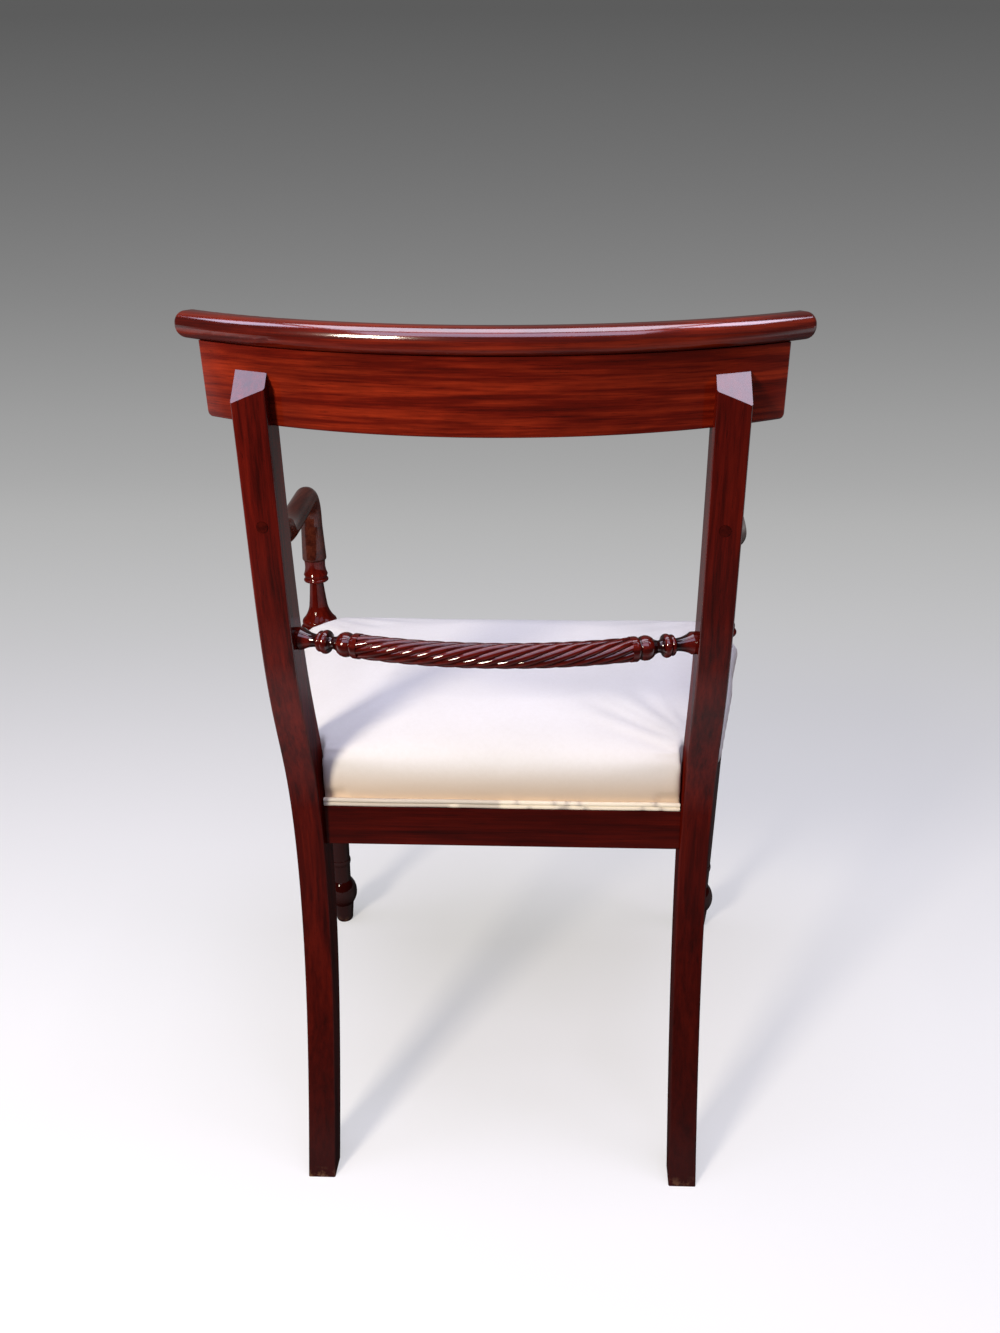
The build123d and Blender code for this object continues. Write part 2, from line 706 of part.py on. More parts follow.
# Double piping on the rails' top edge, as a figure of eight drawn along a straight run
def piping(start, end, outward):
    run = (end - start).normalized()
    half = piping_diameter / 2
    place = Plane(origin=(start.X, start.Y, rail_top_z), x_dir=outward, z_dir=(run.X, run.Y, 0))
    rise = 1 if place.y_dir.Z > 0 else -1
    cords = Pos(0, rise * half) * Circle(half) + Pos(0, rise * (3 * half - piping_lap)) * Circle(half)
    return place * extrude(cords, (end - start).length)


parts = {}

# Back
leg_blank = rear_leg_blank()
rear_leg = leg_blank - stile_head_cut()
dowel_lines = [crest_dowel_axis(step * crest_dowel_pitch) for step in (0, 1)]
dowels = [rod(start, run, crest_dowel_diameter, crest_dowel_length) for start, run in dowel_lines]
dowel_rooms = [rod(start - run.normalized() * fit_clearance, run, crest_dowel_diameter + 2 * fit_clearance,
                   crest_dowel_length + 2 * fit_clearance) for start, run in dowel_lines]
rope_pin_place = rope_end_place(1)
rope_socket = rod(rope_pin_place.origin + rope_pin_place.z_dir * tenon_root, -rope_pin_place.z_dir,
                  rope_pin_diameter + 2 * fit_clearance, tenon_root + rope_pin_length + fit_clearance)
rear_leg -= dowel_rooms + [rope_socket, arm_housing(), arm_screw_room(), arm_plug_room()]
rear_leg -= [back_tenon(fit_clearance), side_rear_tenon(fit_clearance)]
parts["rear_leg_left"] = rear_leg
parts["rear_leg_right"] = mirrored(rear_leg)
panel_rooms = dowel_rooms + [mirrored(room) for room in dowel_rooms]
parts["crest_panel"] = crest_panel_shape() - panel_rooms
parts["crest_roll"] = crest_roll_shape()
parts["crest_dowels"] = Compound(dowels + [mirrored(dowel) for dowel in dowels])
parts["rope_rail"] = rope_rail_shape()

# Seat frame
tack_rooms = [tack_room(*spot) for spot in tack_spots()]
front_plan = corner_brace_plan(front_rail_y + rail_thickness, leg_inner_x, 1, front_brace_reach)
rear_plan = corner_brace_plan(back_rail_y - rail_thickness, stile_inner_x, -1, rear_brace_reach)
screw_lines = brace_screw_lines(front_plan, 1) + brace_screw_lines(rear_plan, -1)
brace_rooms = [brace_screw_room(line) for line in screw_lines]
frame_rooms = tack_rooms + brace_rooms + [mirrored(room) for room in brace_rooms]
back_rail = cross_rail(back_rail_y, back_rail_y - rail_thickness, stile_inner_x, back_tenon())
front_rail = cross_rail(front_rail_y, front_rail_y + rail_thickness, leg_inner_x, front_tenon())
side_rail = side_rail_shape(leg_blank)
parts["back_seat_rail"] = back_rail - frame_rooms
parts["front_seat_rail"] = front_rail - frame_rooms
parts["side_seat_rail_left"] = side_rail - frame_rooms
parts["side_seat_rail_right"] = mirrored(side_rail) - frame_rooms
for name, plan in (("front", front_plan), ("rear", rear_plan)):
    block = prism(plan, rail_mid_z - brace_height / 2, rail_mid_z + brace_height / 2) - brace_rooms
    parts["corner_brace_" + name + "_left"] = block
    parts["corner_brace_" + name + "_right"] = mirrored(block)
brace_screws = [brace_screw_shape(line) for line in screw_lines]
parts["corner_brace_screws"] = Compound(brace_screws + [mirrored(one) for one in brace_screws])

# Front legs, posts and arms
post_socket = rod(Vector(leg_x, leg_y, rail_top_z), (0, 0, -1), post_pin_diameter + 2 * fit_clearance,
                  post_pin_length + fit_clearance)
front_leg = front_leg_shape() - [post_socket, front_tenon(fit_clearance), side_front_tenon(fit_clearance)]
parts["front_leg_left"] = front_leg
parts["front_leg_right"] = mirrored(front_leg)
arm_post = arm_post_shape()
parts["arm_post_left"] = arm_post
parts["arm_post_right"] = mirrored(arm_post)
arm = arm_shape() - arm_screw_room()
parts["arm_left"] = arm
parts["arm_right"] = mirrored(arm)
arm_screw = arm_screw_shape()
parts["arm_screws"] = Compound([arm_screw, mirrored(arm_screw)])
plug = arm_plug_shape()
parts["arm_screw_plugs"] = Compound([plug, mirrored(plug)])

# Seat
long_straps = [lengthwise_strap(step) - tack_rooms for step in webbing_steps]
cross_straps = [crosswise_strap(seat_middle_y + step) - tack_rooms for step in webbing_steps]
parts["webbing_lengthwise"] = Compound(long_straps)
parts["webbing_crosswise"] = Compound(cross_straps)
parts["webbing_tacks"] = Compound([tack(*spot) for spot in tack_spots()])
hessian = seat_outline(hessian_margin, hessian_margin, hessian_margin, cushion_corner)
hessian = Pos(0, 0, crosswise_top_z) * extrude(hessian, hessian_thickness)
parts["seat_hessian"] = hessian - seat_notches(cover_thickness)
parts["seat_stuffing"] = seat_stuffing_shape()
parts["seat_cover"] = cushion(0.0) - cushion(cover_thickness)
cord_inset = cover_setback - piping_gap - piping_diameter / 2
back_half = stile_inner_x - cloth_clearance
back_y = back_rail_y - cord_inset
front_y = front_rail_y + cord_inset
front_half = leg_inner_x - cloth_clearance
parts["seat_piping_back"] = piping(Vector(back_half, back_y), Vector(-back_half, back_y), (0, 1, 0))
parts["seat_piping_front"] = piping(Vector(-front_half, front_y), Vector(front_half, front_y), (0, -1, 0))
side_rear = side_start - side_out * cord_inset + side_run * (cloth_clearance * 2)
side_front = side_end - side_out * cord_inset - side_run * (cloth_clearance * 2)
side_piping = piping(side_rear, side_front, (side_out.X, side_out.Y, 0))
parts["seat_piping_left"] = side_piping
parts["seat_piping_right"] = mirrored(side_piping)

# The middle of the outline goes to the origin
outline = Compound([shape for shape in parts.values()]).bounding_box()
to_middle = Pos(0, -outline.center().Y, 0)
os.makedirs("parts", exist_ok=True)
for name, shape in parts.items():
    export_step(to_middle * shape, os.path.join("parts", name + ".step"))
print("back plane at y =", round(to_middle.position.Y, 3))
print("size", [round(v, 2) for v in outline.size])
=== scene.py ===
import math

import bmesh
import bpy
from mathutils import Matrix, Vector


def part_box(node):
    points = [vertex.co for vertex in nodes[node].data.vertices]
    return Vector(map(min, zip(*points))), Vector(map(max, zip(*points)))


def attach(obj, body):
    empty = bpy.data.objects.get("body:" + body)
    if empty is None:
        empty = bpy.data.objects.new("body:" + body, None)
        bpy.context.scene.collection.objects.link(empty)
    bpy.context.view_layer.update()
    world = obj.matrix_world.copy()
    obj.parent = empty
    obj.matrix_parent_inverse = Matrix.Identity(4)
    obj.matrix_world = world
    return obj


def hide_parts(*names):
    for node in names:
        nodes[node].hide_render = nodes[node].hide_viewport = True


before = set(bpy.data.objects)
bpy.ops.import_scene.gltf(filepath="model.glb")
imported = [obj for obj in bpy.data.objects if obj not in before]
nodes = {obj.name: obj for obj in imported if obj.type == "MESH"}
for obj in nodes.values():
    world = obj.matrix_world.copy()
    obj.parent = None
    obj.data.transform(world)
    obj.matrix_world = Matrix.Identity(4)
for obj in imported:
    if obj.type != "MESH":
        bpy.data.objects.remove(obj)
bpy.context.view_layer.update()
scene = bpy.context.scene
print("chair loaded,", len(nodes), "nodes")

# camera, as the photo was taken from behind the chair
photoCamera = dict(
    place=(-0.0611, 1.0386, 0.9355),
    pitch=23.49,        # down
    turn=-1.915,
    roll=-0.076,
    lens=29.075,        # mm
    sensor=36,          # mm, the long side
    shift=-0.0249,      # the photo is cropped off centre
    far=40,
)


def makeCamera(spec):
    pitch, turn, roll = (math.radians(spec[k]) for k in ("pitch", "turn", "roll"))
    ahead = Vector((-math.sin(turn), -math.cos(turn), 0))
    right = Vector((-math.cos(turn), math.sin(turn), 0))
    up = Vector((0, 0, 1))
    look = math.cos(pitch) * ahead - math.sin(pitch) * up
    down = -math.sin(pitch) * ahead - math.cos(pitch) * up
    camRight = math.cos(roll) * right - math.sin(roll) * down
    camDown = math.sin(roll) * right + math.cos(roll) * down
    turnMatrix = Matrix((camRight, -camDown, -look)).transposed().to_4x4()
    data = bpy.data.cameras.new("photoCamera")
    data.lens = spec["lens"]
    data.sensor_width = spec["sensor"]
    data.shift_x = spec["shift"]
    data.clip_end = spec["far"]
    camera = bpy.data.objects.new("photoCamera", data)
    camera.matrix_world = Matrix.Translation(spec["place"]) @ turnMatrix
    scene.collection.objects.link(camera)
    scene.camera = camera


makeCamera(photoCamera)
print("camera placed")


# small helpers for shader nodes
def addNode(tree, kind, values=None, **settings):
    made = tree.nodes.new("ShaderNode" + kind)
    for key, value in settings.items():
        setattr(made, key, value)
    for key, value in (values or {}).items():
        made.inputs[key].default_value = value
    return made


def join(tree, *pairs):
    for start, end in zip(pairs[::2], pairs[1::2]):
        tree.links.new(start, end)


def ramp(tree, stops):
    made = addNode(tree, "ValToRGB")
    marks = made.color_ramp.elements
    while len(marks) < len(stops):
        marks.new(0.5)
    for mark, (place, colour) in zip(marks, stops):
        mark.position = place
        mark.color = (*colour, 1) if len(colour) == 3 else colour
    return made


def mixColour(tree, blend, factor=0.5):
    made = addNode(tree, "Mix", data_type="RGBA", blend_type=blend)
    made.inputs[0].default_value = factor
    return made                     # sockets 6 and 7 in, 2 out


def newGroup(name, inputs, outputs):
    tree = bpy.data.node_groups.new(name, "ShaderNodeTree")
    for label, kind in inputs:
        tree.interface.new_socket(name=label, in_out="INPUT", socket_type="NodeSocket" + kind)
    for label, kind in outputs:
        tree.interface.new_socket(name=label, in_out="OUTPUT", socket_type="NodeSocket" + kind)
    return tree, tree.nodes.new("NodeGroupInput"), tree.nodes.new("NodeGroupOutput")


def useGroup(tree, group, values=None):
    return addNode(tree, "Group", values, node_tree=group)


def newMaterial(name):
    material = bpy.data.materials.new(name)
    material.use_nodes = True
    tree = material.node_tree
    return material, tree, tree.nodes["Principled BSDF"]


def dress(name, material):
    data = nodes[name].data
    data.materials.clear()
    data.materials.append(material)


# grain runs along the third axis of the vector
grainSpec = dict(
    figure=(62, 62, 3.2),       # broad streaks, per metre
    ribbon=(270, 270, 10),      # fine streaks
    pores=(1500, 1500, 55),     # open pores
    clouds=(13, 13, 7),         # patina
    ribbonShare=0.46,
)


def grainGroup(spec):
    tree, given, out = newGroup("mahoganyGrain", [("Vector", "Vector"), ("Waver", "Float")],
                                [("Figure", "Float"), ("Pores", "Float"), ("Clouds", "Float")])
    layers = {}
    for name, detail, rough in (("figure", 5, 0.6), ("ribbon", 4, 0.65), ("pores", 2, 0.5),
                                ("clouds", 5, 0.62)):
        scale = addNode(tree, "Mapping", {"Scale": spec[name]})
        noise = addNode(tree, "TexNoise", {"Scale": 1.0, "Detail": detail, "Roughness": rough})
        join(tree, given.outputs["Vector"], scale.inputs["Vector"], scale.outputs[0], noise.inputs["Vector"])
        layers[name] = noise
    join(tree, given.outputs["Waver"], layers["figure"].inputs["Distortion"])
    both = addNode(tree, "Mix", data_type="FLOAT")
    both.inputs[0].default_value = spec["ribbonShare"]
    join(tree, layers["figure"].outputs[0], both.inputs[2], layers["ribbon"].outputs[0], both.inputs[3])
    spread = addNode(tree, "MapRange", {"From Min": 0.36, "From Max": 0.65})
    join(tree, both.outputs[0], spread.inputs[0], spread.outputs[0], out.inputs["Figure"])
    pits = addNode(tree, "MapRange", {"From Min": 0.60, "From Max": 0.74})
    join(tree, layers["pores"].outputs[0], pits.inputs[0], pits.outputs[0], out.inputs["Pores"])
    mist = addNode(tree, "MapRange", {"From Min": 0.32, "From Max": 0.70})
    join(tree, layers["clouds"].outputs[0], mist.inputs[0], mist.outputs[0], out.inputs["Clouds"])
    return tree


# polish: scuffed near the floor, thin on legs, sides and undersides, with painted shade darkening the colour
# towards the feet
def polishGroup():
    tree, given, out = newGroup("polishWearAndShade", [("Vector", "Vector"), ("Scuff height", "Float")],
                                [("Scuff", "Float"), ("Polish", "Float"), ("PaintedShade", "Float")])
    split = addNode(tree, "SeparateXYZ")
    noise = addNode(tree, "TexNoise", {"Scale": 120.0, "Detail": 4.0, "Roughness": 0.7})
    low = addNode(tree, "MapRange", {"From Min": 0.0, "To Min": 1.0, "To Max": 0.0})
    patch = addNode(tree, "MapRange", {"From Min": 0.5, "From Max": 0.62})
    both = addNode(tree, "Math", operation="MULTIPLY")
    join(tree, given.outputs["Vector"], split.inputs[0], given.outputs["Vector"], noise.inputs["Vector"],
         split.outputs["Z"], low.inputs[0], given.outputs["Scuff height"], low.inputs["From Max"],
         noise.outputs[0], patch.inputs[0], low.outputs[0], both.inputs[0], patch.outputs[0], both.inputs[1],
         both.outputs[0], out.inputs["Scuff"])
    facing = addNode(tree, "NewGeometry")
    tilt = addNode(tree, "SeparateXYZ")
    upper = addNode(tree, "MapRange", {"From Min": -0.40, "From Max": 0.05, "To Min": 0.08})
    high = addNode(tree, "MapRange", {"From Min": 0.40, "From Max": 0.58, "To Min": 0.08})
    sideways = addNode(tree, "Math", operation="ABSOLUTE")
    flank = addNode(tree, "MapRange", {"From Min": 0.80, "From Max": 0.97, "To Min": 1.0, "To Max": 0.25})
    level = addNode(tree, "Math", operation="MULTIPLY")
    polish = addNode(tree, "Math", operation="MULTIPLY")
    join(tree, facing.outputs["Normal"], tilt.inputs[0], tilt.outputs["Z"], upper.inputs[0],
         split.outputs["Z"], high.inputs[0], tilt.outputs["X"], sideways.inputs[0],
         sideways.outputs[0], flank.inputs[0], upper.outputs[0], level.inputs[0], high.outputs[0],
         level.inputs[1], level.outputs[0], polish.inputs[0], flank.outputs[0], polish.inputs[1],
         polish.outputs[0], out.inputs["Polish"])
    # painted shade: the colour gets darker towards the feet, where less light falls
    paintedFeetShade = addNode(tree, "MapRange", {"From Min": 0.0, "From Max": 0.55, "To Min": 0.86, "To Max": 0.0})
    join(tree, split.outputs["Z"], paintedFeetShade.inputs[0], paintedFeetShade.outputs[0], out.inputs["PaintedShade"])
    return tree


# board bent about an upright axis: its length comes out on the third axis
def bendGroup():
    tree, given, out = newGroup("bentBoard", [("Vector", "Vector"), ("Centre", "Float"), ("Radius", "Float")],
                                [("Vector", "Vector")])
    split = addNode(tree, "SeparateXYZ")
    depth = addNode(tree, "Math", operation="SUBTRACT")
    angle = addNode(tree, "Math", operation="ARCTAN2")
    length = addNode(tree, "Math", operation="MULTIPLY")
    flat = addNode(tree, "CombineXYZ")
    reach = addNode(tree, "VectorMath", operation="LENGTH")
    made = addNode(tree, "CombineXYZ")
    join(tree, given.outputs["Vector"], split.inputs[0], split.outputs["Y"], depth.inputs[0],
         given.outputs["Centre"], depth.inputs[1], split.outputs["X"], angle.inputs[0],
         depth.outputs[0], angle.inputs[1], angle.outputs[0], length.inputs[0], given.outputs["Radius"],
         length.inputs[1], split.outputs["X"], flat.inputs["X"], depth.outputs[0], flat.inputs["Y"],
         flat.outputs[0], reach.inputs[0], reach.outputs["Value"], made.inputs["X"],
         split.outputs["Z"], made.inputs["Y"], length.outputs[0], made.inputs["Z"],
         made.outputs[0], out.inputs["Vector"])
    return tree


grainNodes = grainGroup(grainSpec)
polishNodes = polishGroup()
bendNodes = bendGroup()

mahogany = dict(
    dark=(0.034, 0.0020, 0.0012),
    middle=(0.104, 0.0048, 0.0024),
    light=(0.190, 0.0105, 0.0040),
    # colour of the open pores, and also of the painted shade in the rope's grooves
    poreAndShade=(0.014, 0.0014, 0.0010),
    smokeAndShade=(0.020, 0.0018, 0.0012),     # darkened polish, and also the colour of the painted shade towards the feet
    worn=(0.13, 0.060, 0.032),
    rough=(0.22, 0.40),
    specular=0.0,
    coatIor=1.8,
    coatRough=0.06,
    scuffHeight=0.011,
    ior=1.5,
    waver=0.5,
    stops=(0.0, 0.42, 0.95),            # dark, middle, light
    poreDepth=0.55,
    bump=(0.10, 0.0004),                # strength, distance
)
figured = dict(mahogany, dark=(0.058, 0.0036, 0.0017), middle=(0.175, 0.0094, 0.0032),
               light=(0.440, 0.0380, 0.0095))
burnished = dict(figured, coatIor=2.3, coatRough=0.13)
carved = dict(mahogany, hollow=(0.0092, 0.0107), grooveShade=0.95)     # rope: painted shade in its grooves, dark up to here, clear from there
rubbed = dict(mahogany, dark=(0.028, 0.0050, 0.0026), middle=(0.070, 0.0130, 0.0066),
              light=(0.120, 0.0260, 0.0120))


# turn brings a piece's length onto the third axis, shift keeps boards from matching, bend is a radius
def polishedWood(name, turn, shift, gain, smoky, spec=mahogany, bend=None, shine=1.0):
    material, tree, shader = newMaterial("polish_" + name)
    coords = addNode(tree, "TexCoord")
    place = addNode(tree, "Mapping", {"Location": shift, "Rotation": [math.radians(a) for a in turn]})
    grain = useGroup(tree, grainNodes, {"Waver": spec["waver"]})
    tones = ramp(tree, list(zip(spec["stops"], (spec["dark"], spec["middle"], spec["light"]))))
    run = coords.outputs["Object"]
    if bend:
        bent = useGroup(tree, bendNodes, {"Centre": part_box(name)[1].y - bend, "Radius": bend})
        join(tree, run, bent.inputs["Vector"])
        run = bent.outputs["Vector"]
    join(tree, run, place.inputs[0], place.outputs[0], grain.inputs["Vector"],
         grain.outputs["Figure"], tones.inputs[0])
    level = mixColour(tree, "MULTIPLY", 1.0)
    level.inputs[7].default_value = (gain, gain, gain, 1)
    smokeAndShade = mixColour(tree, "MIX")
    smokeAndShade.inputs[7].default_value = (*spec["smokeAndShade"], 1)
    amount = addNode(tree, "Math", {1: smoky}, operation="MULTIPLY")
    pitted = mixColour(tree, "MIX")
    pitted.inputs[7].default_value = (*spec["poreAndShade"], 1)
    depth = addNode(tree, "Math", {1: spec["poreDepth"]}, operation="MULTIPLY")
    polish = useGroup(tree, polishNodes, {"Scuff height": spec["scuffHeight"]})
    coat = addNode(tree, "Math", {1: shine}, operation="MULTIPLY")
    # painted shade towards the feet, in the smoke colour
    paintedShading = mixColour(tree, "MIX")
    paintedShading.inputs[7].default_value = (*spec["smokeAndShade"], 1)
    scuffed = mixColour(tree, "MIX")
    scuffed.inputs[7].default_value = (*spec["worn"], 1)
    join(tree, tones.outputs[0], level.inputs[6], level.outputs[2], smokeAndShade.inputs[6],
         grain.outputs["Clouds"], amount.inputs[0], amount.outputs[0], smokeAndShade.inputs[0],
         smokeAndShade.outputs[2], pitted.inputs[6], grain.outputs["Pores"], depth.inputs[0],
         depth.outputs[0], pitted.inputs[0], coords.outputs["Object"], polish.inputs["Vector"],
         pitted.outputs[2], paintedShading.inputs[6], polish.outputs["PaintedShade"], paintedShading.inputs[0],
         paintedShading.outputs[2], scuffed.inputs[6], polish.outputs["Scuff"], scuffed.inputs[0],
         scuffed.outputs[2], shader.inputs["Base Color"],
         polish.outputs["Polish"], coat.inputs[0], coat.outputs[0], shader.inputs["Coat Weight"])
    gloss = addNode(tree, "MapRange", {"To Min": spec["rough"][0], "To Max": spec["rough"][1]})
    # painted shade: the colour gets darker towards the rope's axis, down in its grooves
    if "hollow" in spec:
        low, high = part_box(name)
        middle = (bend - (high.z - low.z) / 2, (low.z + high.z) / 2, 0)
        centred = addNode(tree, "VectorMath", {1: middle}, operation="SUBTRACT")
        sliced = addNode(tree, "VectorMath", {1: (1, 1, 0)}, operation="MULTIPLY")
        reach = addNode(tree, "VectorMath", operation="LENGTH")
        grooveShade = addNode(tree, "MapRange", {"From Min": spec["hollow"][0], "From Max": spec["hollow"][1],
                                          "To Min": spec["grooveShade"], "To Max": 0.0})
        sunk = mixColour(tree, "MIX")
        sunk.inputs[7].default_value = (*spec["poreAndShade"], 1)
        join(tree, run, centred.inputs[0], centred.outputs[0], sliced.inputs[0],
             sliced.outputs[0], reach.inputs[0], reach.outputs["Value"], grooveShade.inputs[0],
             grooveShade.outputs[0], sunk.inputs[0], scuffed.outputs[2], sunk.inputs[6],
             sunk.outputs[2], shader.inputs["Base Color"])
    strength, distance = spec["bump"]
    bump = addNode(tree, "Bump", {"Strength": strength, "Distance": distance}, invert=True)
    join(tree, grain.outputs["Clouds"], gloss.inputs[0], gloss.outputs[0], shader.inputs["Roughness"],
         grain.outputs["Pores"], bump.inputs["Height"], bump.outputs[0], shader.inputs["Normal"])
    shader.inputs["IOR"].default_value = spec["ior"]
    shader.inputs["Specular IOR Level"].default_value = spec["specular"]
    shader.inputs["Coat IOR"].default_value = spec["coatIor"]
    shader.inputs["Coat Roughness"].default_value = spec["coatRough"]
    return material


upright = (0, 0, 0)
across = (0, 90, 0)
lengthways = (90, 0, 0)
woodPieces = dict(      # turn, shift, gain, smoke, colours, bend, shine
    rear_leg_left=(upright, (0.3, 0.1, 0.4), 1.0, 0.40),
    rear_leg_right=(upright, (1.7, 0.6, 0.9), 0.9, 0.45),
    crest_panel=(upright, (0.2, 2.1, 0.5), 1.0, 0.55, figured, 0.440),
    crest_roll=(upright, (3.2, 0.4, 0.1), 0.85, 0.55, burnished, 0.440),
    rope_rail=(upright, (0.9, 1.3, 2.2), 1.0, 0.35, carved, 0.395),
    back_seat_rail=(across, (2.2, 3.1, 1.4), 0.8, 0.55),
    front_seat_rail=(across, (4.0, 0.2, 0.8), 0.95, 0.45),
    side_seat_rail_left=(lengthways, (1.0, 2.4, 0.3), 0.9, 0.45),
    side_seat_rail_right=(lengthways, (2.6, 1.5, 3.3), 0.9, 0.45),
    # front legs: their gain of 0.45 is painted shade, as they stand in shade under the seat
    front_leg_left=(upright, (5.1, 0.7, 0.2), 0.45, 0.45, mahogany, None, 2.0),
    front_leg_right=(upright, (0.5, 4.2, 1.9), 0.45, 0.45, mahogany, None, 2.0),
    arm_post_left=(upright, (2.9, 2.0, 0.6), 0.9, 0.4, mahogany, None, 0.5),
    arm_post_right=(upright, (3.7, 3.6, 0.2), 0.9, 0.4, mahogany, None, 0.5),
    arm_left=(lengthways, (0.8, 5.0, 1.1), 1.0, 0.4, rubbed, None, 0.5),
    arm_right=(lengthways, (4.4, 1.9, 2.7), 1.0, 0.4, rubbed, None, 0.5),
    arm_screw_plugs=(lengthways, (6.0, 0.3, 0.1), 0.5, 0.6),
    crest_dowels=(lengthways, (1.2, 6.1, 0.4), 0.9, 0.3),
)
for name, given in woodPieces.items():
    dress(name, polishedWood(name, *given))
print("mahogany pieces polished")

# raw beech of the corner braces, and the hidden metal
beech = dict(dark=(0.34, 0.205, 0.105), light=(0.56, 0.38, 0.22), fleck=(0.25, 0.13, 0.06), rough=0.72,
             waver=0.3, stops=(0.1, 0.8), bump=(0.3, 0.0004))


def rawWood(name, turn, spec):
    material, tree, shader = newMaterial(name)
    coords = addNode(tree, "TexCoord")
    place = addNode(tree, "Mapping", {"Rotation": [math.radians(a) for a in turn]})
    grain = useGroup(tree, grainNodes, {"Waver": spec["waver"]})
    tones = ramp(tree, list(zip(spec["stops"], (spec["dark"], spec["light"]))))
    flecks = mixColour(tree, "MIX")
    flecks.inputs[7].default_value = (*spec["fleck"], 1)
    strength, distance = spec["bump"]
    bump = addNode(tree, "Bump", {"Strength": strength, "Distance": distance}, invert=True)
    join(tree, coords.outputs["Object"], place.inputs[0], place.outputs[0], grain.inputs["Vector"],
         grain.outputs["Figure"], tones.inputs[0], tones.outputs[0], flecks.inputs[6],
         grain.outputs["Pores"], flecks.inputs[0], flecks.outputs[2], shader.inputs["Base Color"],
         grain.outputs["Pores"], bump.inputs["Height"], bump.outputs[0], shader.inputs["Normal"])
    shader.inputs["Roughness"].default_value = spec["rough"]
    return material


steel = dict(clean=(0.42, 0.41, 0.39), dull=(0.20, 0.17, 0.14), rough=(0.32, 0.58))
iron = dict(clean=(0.16, 0.15, 0.145), dull=(0.11, 0.060, 0.035), rough=(0.45, 0.75))


def oldMetal(name, spec):
    material, tree, shader = newMaterial(name)
    coords = addNode(tree, "TexCoord")
    spots = addNode(tree, "TexNoise", {"Scale": 700.0, "Detail": 4.0, "Roughness": 0.6})
    tones = ramp(tree, [(0.40, spec["clean"]), (0.66, spec["dull"])])
    gloss = addNode(tree, "MapRange", {"From Min": 0.35, "From Max": 0.7, "To Min": spec["rough"][0],
                                       "To Max": spec["rough"][1]})
    join(tree, coords.outputs["Object"], spots.inputs["Vector"], spots.outputs[0], tones.inputs[0],
         tones.outputs[0], shader.inputs["Base Color"], spots.outputs[0], gloss.inputs[0],
         gloss.outputs[0], shader.inputs["Roughness"])
    shader.inputs["Metallic"].default_value = 1.0
    return material


for corner, turn in (("front_left", (90, 0, 45)), ("front_right", (90, 0, -45)), ("rear_left", (90, 0, -45)),
                     ("rear_right", (90, 0, 45))):
    dress("corner_brace_" + corner, rawWood("beech_" + corner, turn, beech))
screwSteel = oldMetal("screwSteel", steel)
dress("corner_brace_screws", screwSteel)
dress("arm_screws", screwSteel)
dress("webbing_tacks", oldMetal("tackIron", iron))
print("braces, screws and tacks dressed")


# threads follow the two directions that a face lies in
def weaveGroup(steep):
    tree, given, out = newGroup("plainWeave", [("Vector", "Vector"), ("Threads", "Float")],
                                [("Height", "Float"), ("Slub", "Float")])
    facing = addNode(tree, "NewGeometry")
    size = addNode(tree, "VectorMath", operation="ABSOLUTE")
    facingSplit = addNode(tree, "SeparateXYZ")
    split = addNode(tree, "SeparateXYZ")
    join(tree, facing.outputs["Normal"], size.inputs[0], size.outputs[0], facingSplit.inputs[0],
         given.outputs["Vector"], split.inputs[0])
    sideways = addNode(tree, "Math", {1: steep}, operation="GREATER_THAN")
    upward = addNode(tree, "Math", {1: steep}, operation="GREATER_THAN")
    join(tree, facingSplit.outputs["X"], sideways.inputs[0], facingSplit.outputs["Z"], upward.inputs[0])
    warp = addNode(tree, "Mix", data_type="FLOAT")
    weft = addNode(tree, "Mix", data_type="FLOAT")
    join(tree, sideways.outputs[0], warp.inputs[0], split.outputs["X"], warp.inputs[2], split.outputs["Y"],
         warp.inputs[3], upward.outputs[0], weft.inputs[0], split.outputs["Z"], weft.inputs[2],
         split.outputs["Y"], weft.inputs[3])
    waves = []
    for run in (warp, weft):
        turns = addNode(tree, "Math", operation="MULTIPLY")
        wave = addNode(tree, "Math", operation="SINE")
        join(tree, run.outputs[0], turns.inputs[0], given.outputs["Threads"], turns.inputs[1],
             turns.outputs[0], wave.inputs[0])
        waves.append(wave)
    both = addNode(tree, "Math", operation="MULTIPLY")
    level = addNode(tree, "MapRange", {"From Min": -1.0, "From Max": 1.0})
    join(tree, waves[0].outputs[0], both.inputs[0], waves[1].outputs[0], both.inputs[1], both.outputs[0],
         level.inputs[0], level.outputs[0], out.inputs["Height"])
    slub = addNode(tree, "TexNoise", {"Scale": 260.0, "Detail": 3.0, "Roughness": 0.6})
    join(tree, given.outputs["Vector"], slub.inputs["Vector"], slub.outputs[0], out.inputs["Slub"])
    return tree


weaveNodes = weaveGroup(steep=0.7)
cloth = dict(sheen=0.1, specular=0.2, slubShare=0.45, valley=0.93, relief=0.4)     # relief, of the pitch
# the calico's lower edge gets a painted warm tint that stands in for bounce light from below
calico = dict(cloth, pale=(0.91, 0.905, 0.885), deep=(0.86, 0.85, 0.82), pitch=0.0009, bump=0.22, rough=0.88,
              paintedShading=(0.86, 0.66, 0.47), bounceBand=(0.400, 0.447), bounceMost=0.85)
pipingCotton = dict(cloth, pale=(0.95, 0.88, 0.74), deep=(0.92, 0.84, 0.69), pitch=0.0008, bump=0.3,
                    rough=0.9)
jute = dict(cloth, pale=(0.40, 0.29, 0.155), deep=(0.20, 0.135, 0.065), pitch=0.0030, bump=0.7, rough=0.95)
hessianCloth = dict(cloth, pale=(0.45, 0.34, 0.20), deep=(0.22, 0.155, 0.085), pitch=0.0036, bump=0.8,
                    rough=0.95)


